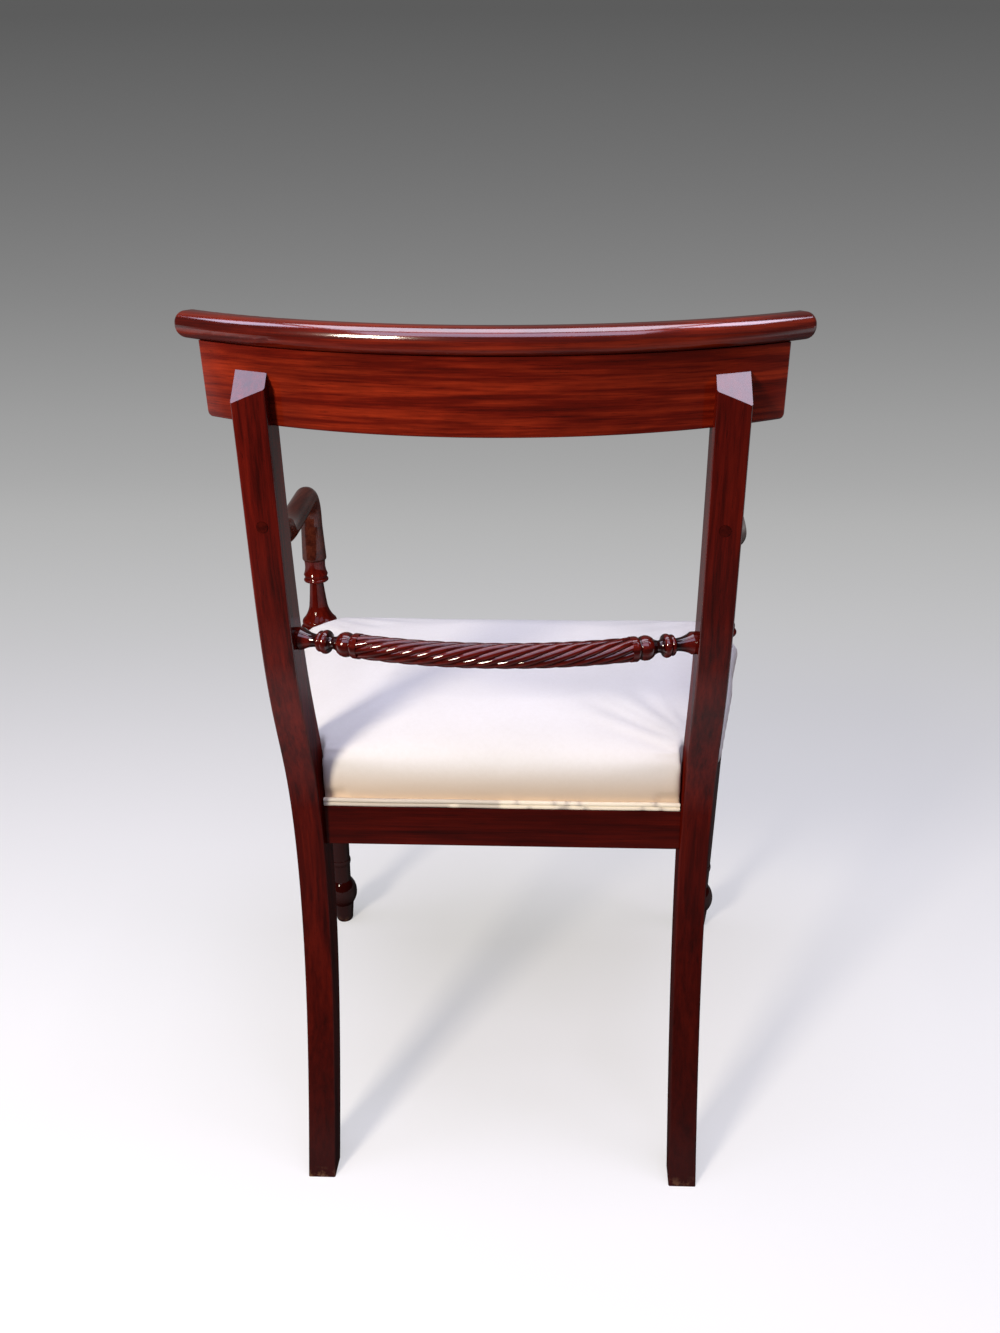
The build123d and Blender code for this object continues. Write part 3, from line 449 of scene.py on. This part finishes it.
def woven(name, spec):
    material, tree, shader = newMaterial(name)
    coords = addNode(tree, "TexCoord")
    weave = useGroup(tree, weaveNodes, {"Threads": 2 * math.pi / spec["pitch"]})
    stain = addNode(tree, "TexNoise", {"Scale": 9.0, "Detail": 4.0, "Roughness": 0.6})
    join(tree, coords.outputs["Object"], weave.inputs["Vector"],
         coords.outputs["Object"], stain.inputs["Vector"])
    tone = ramp(tree, [(0.30, spec["deep"]), (0.62, spec["pale"])])
    both = addNode(tree, "Mix", data_type="FLOAT")
    both.inputs[0].default_value = spec["slubShare"]
    # painted shade: the colour is darkened in the valleys between the threads
    valley = mixColour(tree, "MULTIPLY", 1.0)
    shade = addNode(tree, "MapRange", {"To Min": spec["valley"], "To Max": 1.0})
    join(tree, stain.outputs[0], both.inputs[2], weave.outputs["Slub"], both.inputs[3], both.outputs[0],
         tone.inputs[0], tone.outputs[0], valley.inputs[6], weave.outputs["Height"], shade.inputs[0],
         shade.outputs[0], valley.inputs[7], valley.outputs[2], shader.inputs["Base Color"])
    bump = addNode(tree, "Bump", {"Strength": spec["bump"], "Distance": spec["pitch"] * spec["relief"]})
    join(tree, weave.outputs["Height"], bump.inputs["Height"], bump.outputs[0], shader.inputs["Normal"])
    if "paintedShading" in spec:      # painted warm bounce light along the lower edge
        split = addNode(tree, "SeparateXYZ")
        low, high = spec["bounceBand"]
        amount = addNode(tree, "MapRange", {"From Min": low, "From Max": high, "To Min": spec["bounceMost"],
                                            "To Max": 0.0}, interpolation_type="SMOOTHSTEP")
        paintedShading = mixColour(tree, "MIX")
        paintedShading.inputs[7].default_value = (*spec["paintedShading"], 1)
        join(tree, coords.outputs["Object"], split.inputs[0], split.outputs["Z"], amount.inputs[0],
             amount.outputs[0], paintedShading.inputs[0], valley.outputs[2], paintedShading.inputs[6],
             paintedShading.outputs[2], shader.inputs["Base Color"])
    shader.inputs["Roughness"].default_value = spec["rough"]
    shader.inputs["Sheen Weight"].default_value = spec["sheen"]
    shader.inputs["Specular IOR Level"].default_value = spec["specular"]
    return material


def newPiece(name, mesh, material, slot, *replaced):
    piece = bpy.data.objects.new(name, mesh)
    scene.collection.objects.link(piece)
    mesh.materials.clear()
    mesh.materials.append(material)
    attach(piece, "root")
    if replaced:
        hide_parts(*replaced)
    return piece


weld = 1e-5         # points closer than this are one


def only(made, kind):       # verts, edges or faces among what an operator made
    return [part for part in made if isinstance(part, kind)]


def meshFrom(bm, name, smooth=False):
    for face in bm.faces:
        face.smooth = smooth
    mesh = bpy.data.meshes.new(name)
    bm.to_mesh(mesh)
    bm.free()
    return mesh


def soften(bm, verts, factor):
    bmesh.ops.smooth_vert(bm, verts=verts, factor=factor, use_axis_x=True, use_axis_y=True, use_axis_z=True)


def ease(value, start, end):        # 0 to 1, softly
    share = min(max((value - start) / (end - start), 0.0), 1.0)
    return share * share * (3 - 2 * share)


def topArea(bm):
    return sum(face.calc_area() for face in bm.faces if face.normal.z > 0.5)


def evaluatedMesh(piece):
    bpy.context.view_layer.update()
    return bpy.data.meshes.new_from_object(piece.evaluated_get(bpy.context.evaluated_depsgraph_get()))


# padded seat: stuffed shape, swollen as cloth, then drawn into a few soft folds
seatPad = dict(
    voxel=0.0044,
    pressure=4.0,
    frames=20,
    cap=0.0045,             # furthest a point may swell
    heldBelow=0.4085,       # tacked to the rails behind the piping
    heldNear=0.010,         # beside the posts
    heldPlay=0.0004,
    smooth=[0.398, 0.416, 0.426, 0.436, 0.446],   # passes, each above a height
    smoothFactor=(0.5, 0.4),                      # before and after the swelling
    corner=0.150,           # from here out the back edge is drawn up to the posts
    cornerGap=0.0012,
    cornerDepth=(0.105, 0.118),
    cornerReach=0.008,
    cornerFade=0.012,
    cornerPowers=(4, 10),   # roundness in plan, as it was and as it gets
    band=0.004,             # height of the slices that this is done in
    bandLeast=0.001,
    rimTop=0.4045,
    tuck=0.0008,            # inside the middle of the piping
    sideSwell=0.0045,       # sides, out over the rails
    sideEdge=0.030,         # fades to nothing this far in
    sideRise=(0.413, 0.433),
    sideRear=(0.102, 0.086),
    sideFore=(-0.120, -0.040),
    rim=0.0095,             # edge that runs down behind the piping
    rimNear=0.003,
    rimStretch=1.6,
    skin=0.0011,            # cloth thickness over the stuffing
    folds=[                 # start, end, half width, height
        ((0.150, 0.100, 0.455), (0.085, 0.035, 0.470), 0.011, -0.0016),
        ((0.165, 0.075, 0.455), (0.120, 0.005, 0.470), 0.012, -0.0014),
        ((-0.150, 0.100, 0.455), (-0.075, 0.045, 0.470), 0.011, -0.0016),
        ((-0.165, 0.075, 0.455), (-0.125, 0.010, 0.470), 0.012, -0.0013),
        ((0.205, -0.185, 0.455), (0.150, -0.140, 0.470), 0.012, -0.0014),
        ((-0.205, -0.185, 0.455), (-0.150, -0.140, 0.470), 0.012, -0.0014),
    ],
)
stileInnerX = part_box("rear_leg_left")[0].x
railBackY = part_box("back_seat_rail")[1].y
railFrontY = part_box("front_seat_rail")[0].y
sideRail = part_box("side_seat_rail_left")
sideSlant = -0.2139         # side rails, across per length
sideCosine = 0.978
stileFrontY = 0.105
postClear = 0.004
foldStart = 0.15            # part of its half wave that a fold skips at its start
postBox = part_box("arm_post_left")
postMiddle = (postBox[0] + postBox[1]) / 2
postRadius = (postBox[1].x - postBox[0].x) / 2


def clearOfWood(point, margin):     # false beside a back post or an arm post
    x = abs(point.x)
    if x > stileInnerX - margin and point.y > stileFrontY - margin:
        return False
    return math.hypot(x - postMiddle.x, point.y - postMiddle.y) > postRadius + postClear + margin


def sideFace(y):            # outer face of a side rail
    return sideRail[1].x + sideSlant * (y - sideRail[0].y)


def railInset(point):       # how far inside the rails' outer faces
    side = (sideFace(point.y) - abs(point.x)) * sideCosine
    return min(railBackY - point.y, point.y - railFrontY, side)


def foldDepth(point, folds):
    depth = 0.0
    for start, end, half, height in folds:
        start, end = Vector(start), Vector(end)
        run = end - start
        share = min(max((point - start).dot(run) / run.length_squared, 0.0), 1.0)
        gap = (point - start - run * share).length / half
        depth += height * math.exp(-gap * gap) * math.sin(math.pi * (foldStart + (1 - foldStart) * share))
    return depth


def meetPosts(verts, spec):     # back corners, drawn out to the posts at each height
    near, far = spec["cornerDepth"]
    soft, square = spec["cornerPowers"]
    bands = {}
    for vert in verts:
        if vert.co.y > far:
            least = [spec["corner"] + spec["bandLeast"], far + spec["bandLeast"]]
            band = bands.setdefault(round(vert.co.z / spec["band"]), least)
            band[:] = max(band[0], abs(vert.co.x)), max(band[1], vert.co.y)
    for vert in verts:
        place = round(vert.co.z / spec["band"])
        around = [bands[k] for k in (place - 1, place, place + 1) if k in bands]
        if vert.co.y < near or not around:
            continue
        edge, back = (sum(band[i] for band in around) / len(around) for i in (0, 1))
        out, wide, deep = abs(vert.co.x), edge - spec["corner"], back - far
        gain = min(max(stileInnerX - spec["cornerGap"] - edge, 0.0), spec["cornerReach"])
        u, v = (out - spec["corner"]) / wide, (vert.co.y - far) / deep
        if 0 < u <= 1 and v > 0:            # squarer in plan
            grow = (u ** soft + v ** soft) ** (1 / soft) / (u ** square + v ** square) ** (1 / square)
            u, v = min(u * grow, 1.0), min(v * grow, 1.0)
            out, vert.co.y = spec["corner"] + u * wide, far + v * deep
        share = u if u < 1 else 1 - (out - edge) / spec["cornerFade"]
        depth = min((vert.co.y - near) / (far - near), 1.0)
        vert.co.x = math.copysign(out + gain * depth * max(share, 0.0), vert.co.x)


def fillSides(verts, spec):     # fuller sides, as seen past the right back post
    for vert in verts:
        side = sideFace(vert.co.y)
        share = ease(abs(vert.co.x), side - spec["sideEdge"], side) * ease(vert.co.z, *spec["sideRise"])
        share *= ease(vert.co.y, *spec["sideRear"]) * ease(vert.co.y, *spec["sideFore"])
        vert.co.x += math.copysign(spec["sideSwell"] * share, vert.co.x)


def tuckRim(verts, spec):       # the lowest edge stays inside the piping
    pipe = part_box("seat_piping_back")
    inset = railBackY - (pipe[0].y + pipe[1].y) / 2 + spec["tuck"]
    for vert in verts:
        if vert.co.z < spec["rimTop"]:
            vert.co.y = min(max(vert.co.y, railFrontY + inset), railBackY - inset)
            side = sideFace(vert.co.y) - inset / sideCosine
            vert.co.x = min(max(vert.co.x, -side), side)


def makeSeatPad(spec):
    source = bpy.data.objects.new("padBlank", nodes["seat_stuffing"].data.copy())
    scene.collection.objects.link(source)
    bm = bmesh.new()
    bm.from_mesh(source.data)
    bmesh.ops.remove_doubles(bm, verts=bm.verts, dist=weld)
    bm.to_mesh(source.data)
    bm.free()
    cells = source.modifiers.new("cells", "REMESH")
    cells.mode = "VOXEL"
    cells.voxel_size = spec["voxel"]
    blank = evaluatedMesh(source)
    source.modifiers.clear()
    bm = bmesh.new()
    bm.from_mesh(blank)
    before, after = spec["smoothFactor"]
    for above in spec["smooth"]:
        soften(bm, [vert for vert in bm.verts if vert.co.z > above], before)
    for vert in bm.verts:
        drop = spec["heldBelow"] - vert.co.z
        if drop > 0 and (railInset(vert.co) < spec["rim"] or not clearOfWood(vert.co, spec["rimNear"])):
            vert.co.z = spec["heldBelow"] - drop * spec["rimStretch"]
    bm.to_mesh(blank)
    bm.free()
    source.data = blank
    start = [v.co.copy() for v in blank.vertices]
    held = [v.co.z < spec["heldBelow"] or not clearOfWood(v.co, spec["heldNear"]) for v in blank.vertices]
    swellPad(source, spec, held)
    for vert, rest, fixed in zip(blank.vertices, start, held):
        move = vert.co - rest
        limit = spec["heldPlay"] if fixed else spec["cap"]
        if move.length > limit:
            vert.co = rest + move * (limit / move.length)
    bm = bmesh.new()
    bm.from_mesh(blank)
    soften(bm, bm.verts, after)
    bm.normal_update()
    for vert in bm.verts:
        vert.co += vert.normal * (spec["skin"] + foldDepth(vert.co, spec["folds"]))
    meetPosts(bm.verts, spec)
    fillSides(bm.verts, spec)
    tuckRim(bm.verts, spec)
    mesh = meshFrom(bm, "seatPad", smooth=True)
    bpy.data.objects.remove(source)
    cover = woven("calicoCover", calico)
    pad = newPiece("seatPad", mesh, cover, "cover_cotton", "seat_cover", "seat_stuffing")
    finer = pad.modifiers.new("finer", "SUBSURF")
    finer.levels = finer.render_levels = 1


def swellPad(piece, spec, held):
    group = piece.vertex_groups.new(name="held")
    group.add([i for i, fixed in enumerate(held) if fixed], 1.0, "REPLACE")
    swell = piece.modifiers.new("swell", "CLOTH")
    swell.settings.quality = 4
    swell.settings.vertex_group_mass = "held"
    swell.settings.use_pressure = True
    swell.settings.uniform_pressure_force = spec["pressure"]
    swell.settings.effector_weights.gravity = 0
    swell.collision_settings.use_collision = False
    swell.point_cache.frame_start = 1
    swell.point_cache.frame_end = spec["frames"]
    for step in range(1, spec["frames"] + 1):
        scene.frame_set(step)
    swollen = evaluatedMesh(piece)
    for vert, grown in zip(piece.data.vertices, swollen.vertices):
        vert.co = grown.co
    piece.modifiers.clear()
    piece.vertex_groups.clear()
    bpy.data.meshes.remove(swollen)
    scene.frame_set(1)


makeSeatPad(seatPad)
print("seat padded")

# double piping along the foot of the cover
pipingSpec = dict(
    radius=0.00225,
    lap=0.0004,
    step=0.006,
    segments=14,
    waver=0.00012,
    waves=(0.21, 0.37),     # radians per step
    endShare=0.55,          # ends are rounded down to this
    endRound=0.0007,
    endTip=0.0004,
)


def pipingRun(side):
    low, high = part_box("seat_piping_" + side.replace("right", "left"))
    radius = pipingSpec["radius"]
    base = low.z + radius
    if side in ("back", "front"):
        y = (low.y + high.y) / 2
        return Vector((low.x, y, base)), Vector((high.x, y, base))
    run = Vector((high.x - low.x, low.y - high.y)).normalized()
    rear = Vector((low.x - run.y * radius, high.y - run.x * radius, base))
    fore = Vector((high.x + run.y * radius, low.y + run.x * radius, base))
    if side == "right":
        return Vector((-rear.x, rear.y, base)), Vector((-fore.x, fore.y, base))
    return rear, fore


def makePiping(side, material, spec):
    start, end = pipingRun(side)
    run = (end - start).normalized()
    steps = int((end - start).length / spec["step"])
    stride = (end - start) / steps
    turn = run.to_track_quat("Z", "Y").to_matrix().to_4x4()
    slow, quick = spec["waves"]
    small = spec["endShare"]
    bm = bmesh.new()
    for cord in range(2):
        lift = Vector((0, 0, cord * (2 * spec["radius"] - spec["lap"])))
        place = Matrix.Translation(start + lift) @ turn
        disc = bmesh.ops.create_circle(bm, cap_ends=True, radius=spec["radius"] * small,
                                       segments=spec["segments"], matrix=place)["verts"]
        face = disc[0].link_faces[0]
        for step in range(steps + 2):
            made = bmesh.ops.extrude_face_region(bm, geom=[face])["geom"]
            ring = only(made, bmesh.types.BMVert)
            face = only(made, bmesh.types.BMFace)[0]
            wave = spec["waver"] * Vector((0, 0, math.sin(step * slow + cord) + math.sin(step * quick)))
            centre = sum((v.co for v in ring), Vector()) / len(ring)
            if step == 0:
                bmesh.ops.scale(bm, vec=(1 / small,) * 3, verts=ring, space=Matrix.Translation(-centre))
                bmesh.ops.translate(bm, vec=run * spec["endRound"], verts=ring)
            elif step > steps:
                bmesh.ops.scale(bm, vec=(small,) * 3, verts=ring, space=Matrix.Translation(-centre))
                bmesh.ops.translate(bm, vec=run * spec["endTip"], verts=ring)
            else:
                target = start + lift + stride * step - run * (spec["endTip"] if step == steps else 0) + wave
                bmesh.ops.translate(bm, vec=target - centre, verts=ring)
    bmesh.ops.recalc_face_normals(bm, faces=bm.faces)
    mesh = meshFrom(bm, "piping_" + side, smooth=True)
    newPiece("piping_" + side, mesh, material, "piping_cotton", "seat_piping_" + side)


pipingMaterial = woven("pipingCotton", pipingCotton)
for side in ("back", "front", "left", "right"):
    makePiping(side, pipingMaterial, pipingSpec)
print("piping sewn on")

# jute webbing, plaited over and under
webbingSpec = dict(
    bottom=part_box("webbing_lengthwise")[0].z,
    thick=0.0015,
    width=0.050,
    pitch=0.088,
    flat=0.027,             # half length of a crossing
    ease=0.013,
    cells=(10, 90),
    clear=0.94,             # share of the thickness, so that straps don't touch
)
crossings = [-1, 0, 1]


def crossLift(distance, spec):      # 1 on a crossing, 0 away from it
    return 1 - ease(abs(distance), spec["flat"], spec["flat"] + spec["ease"])


def makeStraps(name, spec, material):
    low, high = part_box("webbing_" + name)
    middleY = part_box("webbing_crosswise")[0].y + spec["pitch"] + spec["width"] / 2
    lengthwise = name == "lengthwise"
    half = ((high.y - low.y) if lengthwise else (high.x - low.x)) / 2
    wide, long = spec["cells"]
    bm = bmesh.new()
    for strap in crossings:
        grid = bmesh.ops.create_grid(bm, x_segments=wide, y_segments=long, size=1.0)["verts"]
        for vert in grid:
            aside, length = vert.co.x * spec["width"] / 2, vert.co.y
            if lengthwise:
                spot = Vector((strap * spec["pitch"] + aside, (low.y + high.y) / 2 + length * half, 0))
                places = [(spot.y - middleY - other * spec["pitch"], other) for other in crossings]
                level = sum(crossLift(gap, spec) for gap, other in places if (strap + other) % 2 == 0)
            else:
                y = middleY + strap * spec["pitch"] + aside
                reach = half + sideSlant * (y - low.y)
                spot = Vector((length * reach, y, 0))
                places = [(spot.x - other * spec["pitch"], other) for other in crossings]
                level = 1 - sum(crossLift(gap, spec) for gap, other in places if (strap + other) % 2 == 0)
            spot.z = spec["bottom"] + spec["thick"] * level
            vert.co = spot
        faces = list({face for vert in grid for face in vert.link_faces})
        made = bmesh.ops.extrude_face_region(bm, geom=faces)["geom"]
        bmesh.ops.translate(bm, vec=(0, 0, spec["thick"] * spec["clear"]),
                            verts=only(made, bmesh.types.BMVert))
    bmesh.ops.recalc_face_normals(bm, faces=bm.faces)
    area = topArea(bm)
    mesh = meshFrom(bm, "webbing_" + name)
    piece = newPiece("webbing" + name.capitalize(), mesh, material, "webbing_jute", "webbing_" + name)


juteMaterial = woven("juteWebbing", jute)
makeStraps("lengthwise", webbingSpec, juteMaterial)
makeStraps("crosswise", webbingSpec, juteMaterial)

# hessian over the webbing
hessianSpec = dict(thick=0.0009, corner=0.045, rearEase=0.012, foreEase=0.006)


def makeHessian(spec, material):
    low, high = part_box("seat_hessian")
    rearX = high.x + sideSlant * (high.y - low.y)
    notch = spec["corner"]
    bm = bmesh.new()
    half = [(rearX - notch, high.y), (rearX - notch + spec["rearEase"], high.y - notch),
            (high.x - spec["foreEase"], low.y + notch), (high.x - notch, low.y)]
    outline = half + [(-x, y) for x, y in reversed(half)]
    face = bmesh.ops.contextual_create(bm, geom=[bm.verts.new((x, y, low.z)) for x, y in outline])["faces"]
    made = bmesh.ops.extrude_face_region(bm, geom=face)["geom"]
    bmesh.ops.translate(bm, vec=(0, 0, spec["thick"]), verts=only(made, bmesh.types.BMVert))
    bmesh.ops.recalc_face_normals(bm, faces=bm.faces)
    area = topArea(bm)
    mesh = meshFrom(bm, "hessian")
    piece = newPiece("hessian", mesh, material, "hessian", "seat_hessian")


makeHessian(hessianSpec, woven("hessianCloth", hessianCloth))
print("webbing and hessian laid")

# lights
lampSpec = dict(
    key=dict(place=(1.20, 1.90, 1.45), aim=(0, 0.1, 0.55), size=(0.45, 0.45), power=46,
             colour=(1.0, 0.89, 0.73)),
    sky=dict(place=(0.15, 0.1, 3.2), aim=(0.15, 0.1, 0), size=(2.6, 1.7), power=49,
             colour=(0.82, 0.83, 1.0)),
    skyLeft=dict(place=(2.35, 0.05, 3.2), aim=(0, 0, 0.5), size=(1.1, 1.1), power=13,
                 colour=(0.76, 0.74, 1.0)),
    skyRight=dict(place=(-1.95, 0.15, 3.2), aim=(0, 0, 0.5), size=(1.1, 1.1), power=18,
                  colour=(0.86, 0.78, 1.0)),
    skyBehind=dict(place=(0.0, 2.1, 3.08), aim=(0, 0.2, 0.8), size=(3.6, 1.5), power=32,
                   colour=(0.78, 0.72, 1.0)),
)
for name, spec in lampSpec.items():
    data = bpy.data.lights.new(name, "AREA")
    data.shape = "RECTANGLE"
    data.size, data.size_y = spec["size"]
    data.energy = spec["power"]
    data.color = spec["colour"]
    lamp = bpy.data.objects.new(name, data)
    lamp.location = spec["place"]
    lamp.rotation_euler = (Vector(spec["aim"]) - Vector(spec["place"])).to_track_quat("-Z", "Y").to_euler()
    scene.collection.objects.link(lamp)
worldSpec = dict(colour=(0.90, 0.93, 1.0, 1), strength=0.03)
world = bpy.data.worlds.new("studio")
world.use_nodes = True
world.node_tree.nodes["Background"].inputs[0].default_value = worldSpec["colour"]
world.node_tree.nodes["Background"].inputs[1].default_value = worldSpec["strength"]
scene.world = world

# floor that curves up into a backdrop
stageSpec = dict(
    halfWidth=7.0, near=6.0, far=-2.6, curve=1.2, top=6.0, steps=24,
    tones=[                 # depth less height, paint that takes shadows, glow
        (2.2, 0.01, 0.02), (1.3, 0.02, 0.04), (0.9, 0.05, 0.11), (0.63, 0.20, 0.33), (0.41, 0.52, 0.50),
        (0.0, 0.52, 0.46), (-0.45, 0.46, 0.41), (-0.85, 0.34, 0.42), (-1.4, 0.12, 0.48), (-2.2, 0.0, 0.455),
        (-3.3, 0.0, 0.345), (-4.2, 0.0, 0.235), (-5.4, 0.0, 0.107),
    ],
    bounce=0.6,             # share of the paint that lights the chair from below
)


def makeStage(spec):
    bm = bmesh.new()
    line = [bm.verts.new((side * spec["halfWidth"], spec["near"], 0)) for side in (-1, 1)]
    edge = bm.edges.new(line)
    ground = bmesh.ops.extrude_edge_only(bm, edges=[edge])["geom"]
    bmesh.ops.translate(bm, vec=(0, spec["far"] - spec["near"], 0), verts=only(ground, bmesh.types.BMVert))
    backEdge = [edge for edge in only(ground, bmesh.types.BMEdge)
                if all(abs(vert.co.y - spec["far"]) < weld for vert in edge.verts)]
    swept = bmesh.ops.spin(bm, geom=backEdge, cent=(0, spec["far"], spec["curve"]), axis=(-1, 0, 0),
                           angle=math.pi / 2, steps=spec["steps"])["geom_last"]
    wall = bmesh.ops.extrude_edge_only(bm, edges=only(swept, bmesh.types.BMEdge))["geom"]
    bmesh.ops.translate(bm, vec=(0, 0, spec["top"]), verts=only(wall, bmesh.types.BMVert))
    bmesh.ops.remove_doubles(bm, verts=bm.verts, dist=weld)
    bmesh.ops.recalc_face_normals(bm, faces=bm.faces)
    mesh = meshFrom(bm, "studioFloor", smooth=True)
    floor = bpy.data.objects.new("studioFloor", mesh)
    scene.collection.objects.link(floor)
    material, tree, shader = newMaterial("paleFloor")
    coords = addNode(tree, "TexCoord")
    split = addNode(tree, "SeparateXYZ")
    along = addNode(tree, "Math", operation="SUBTRACT")
    first, last = spec["tones"][0][0], spec["tones"][-1][0]
    share = addNode(tree, "MapRange", {"From Min": first, "From Max": last})
    places = [((spot - first) / (last - first), grey, light) for spot, grey, light in spec["tones"]]
    paint = ramp(tree, [(at, (grey,) * 3) for at, grey, light in places])
    glow = ramp(tree, [(at, (light,) * 3) for at, grey, light in places])
    cut = addNode(tree, "MapRange", {"To Min": spec["bounce"], "To Max": 1.0})
    toned = mixColour(tree, "MULTIPLY", 1.0)
    rays = addNode(tree, "LightPath")
    seen = addNode(tree, "Math", operation="MAXIMUM")
    shown = addNode(tree, "Math", operation="MAXIMUM")
    join(tree, coords.outputs["Object"], split.inputs[0], split.outputs["Y"], along.inputs[0],
         split.outputs["Z"], along.inputs[1], along.outputs[0], share.inputs[0],
         share.outputs[0], paint.inputs[0], share.outputs[0], glow.inputs[0],
         paint.outputs[0], toned.inputs[6], shown.outputs[0], cut.inputs[0], cut.outputs[0], toned.inputs[7],
         toned.outputs[2], shader.inputs["Base Color"], glow.outputs[0], shader.inputs["Emission Color"],
         rays.outputs["Is Camera Ray"], seen.inputs[0], rays.outputs["Is Glossy Ray"], seen.inputs[1],
         seen.outputs[0], shown.inputs[0], rays.outputs["Is Transmission Ray"], shown.inputs[1],
         shown.outputs[0], shader.inputs["Emission Strength"])
    shader.inputs["Roughness"].default_value = 0.9
    shader.inputs["Specular IOR Level"].default_value = 0.0
    mesh.materials.append(material)


makeStage(stageSpec)
scene.view_settings.view_transform = "Standard"
print("studio set")
